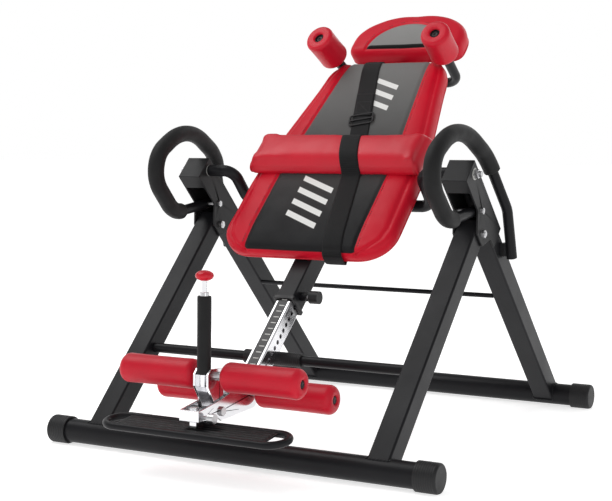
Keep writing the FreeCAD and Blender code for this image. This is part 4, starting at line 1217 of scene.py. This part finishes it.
# ---------------- stage, lights and camera
def softbox(name, place, target, width, height, power):
    """A large soft area light."""
    data = bpy.data.lights.new(name, "AREA")
    data.shape = "RECTANGLE"
    data.size = width
    data.size_y = height
    data.energy = power
    lamp = bpy.data.objects.new(name, data)
    scene.collection.objects.link(lamp)
    lamp.location = place
    lamp.rotation_euler = (Vector(target) - Vector(place)).to_track_quat("-Z", "Y").to_euler()


def studio():
    """A white seamless floor, a white surround and three softboxes."""
    size = 30.0
    corners = [(-size, -size, 0), (size, -size, 0), (size, size, 0), (-size, size, 0)]
    floor = mesh_piece("studio_floor", corners, [(0, 1, 2, 3)])
    look = Look("floor", Specular_IOR_Level=0.05, Emission_Color=(1, 1, 1), Emission_Strength=0.66)
    speckle = look.noise(3, 2)
    floor.data.materials.append(look.finish(look.blend(speckle, (0.78, 0.78, 0.78), (0.80, 0.80, 0.80)),
                                            look.spread(speckle, 0.85, 0.95)))
    floor.location.z = CAD_BOX[0].z - 0.0005
    world = bpy.data.worlds.new("studio")
    world.use_nodes = True
    background = world.node_tree.nodes["Background"]
    background.inputs["Color"].default_value = (1.0, 1.0, 1.0, 1.0)
    nodes = world.node_tree.nodes
    way = nodes.new("ShaderNodeTexCoord")
    parts = nodes.new("ShaderNodeSeparateXYZ")
    fall = nodes.new("ShaderNodeMapRange")
    fall.interpolation_type = "SMOOTHSTEP"
    for socket, value in (("From Min", 0.10), ("From Max", 0.55), ("To Min", 1.0), ("To Max", 0.42)):
        fall.inputs[socket].default_value = value
    links = world.node_tree.links
    links.new(way.outputs["Generated"], parts.inputs[0])
    links.new(parts.outputs["Z"], fall.inputs["Value"])
    links.new(fall.outputs["Result"], background.inputs["Strength"])
    scene.world = world
    softbox("key", (-1.6, -0.6, 3.2), (0, 0.1, 0.6), 2.2, 2.2, 46)
    softbox("fill", (2.6, -2.4, 1.6), (0, 0, 0.4), 2.0, 2.0, 8)
    softbox("rim", (0.6, 3.0, 2.2), (0, 0, 0.6), 2.4, 1.4, 16)


CAMERA_PLACE = (1.3711, -2.5002, 0.6114)
CAMERA_TILT = 85.38
CAMERA_TURN = 29.565
CAMERA_LENS = 80.05


def camera():
    """The viewing angle of a catalogue picture: low, from the front and to the user's right."""
    data = bpy.data.cameras.new("camera")
    data.lens = CAMERA_LENS
    data.sensor_width = 36.0
    data.clip_end = 60.0
    view = bpy.data.objects.new("camera", data)
    scene.collection.objects.link(view)
    view.location = CAMERA_PLACE
    view.rotation_euler = (math.radians(CAMERA_TILT), 0.0, math.radians(CAMERA_TURN))
    scene.camera = view


def build():
    """Everything on the frame."""
    camera()
    carry_over()
    back = back_cushion()
    bolster = lumbar_pad()
    head = head_cushion()
    ankle_rollers()
    shoulder_rollers()
    foam_grips()
    top = strap([back, bolster])
    buckle(top)
    strap_tail(top)
    round_edges()
    leg_welds()
    cover_stitches("back_stitches", back, panel_lines())
    cover_stitches("head_stitches", head, head_lines())
    studio()


build()
scene.view_settings.view_transform = "Standard"
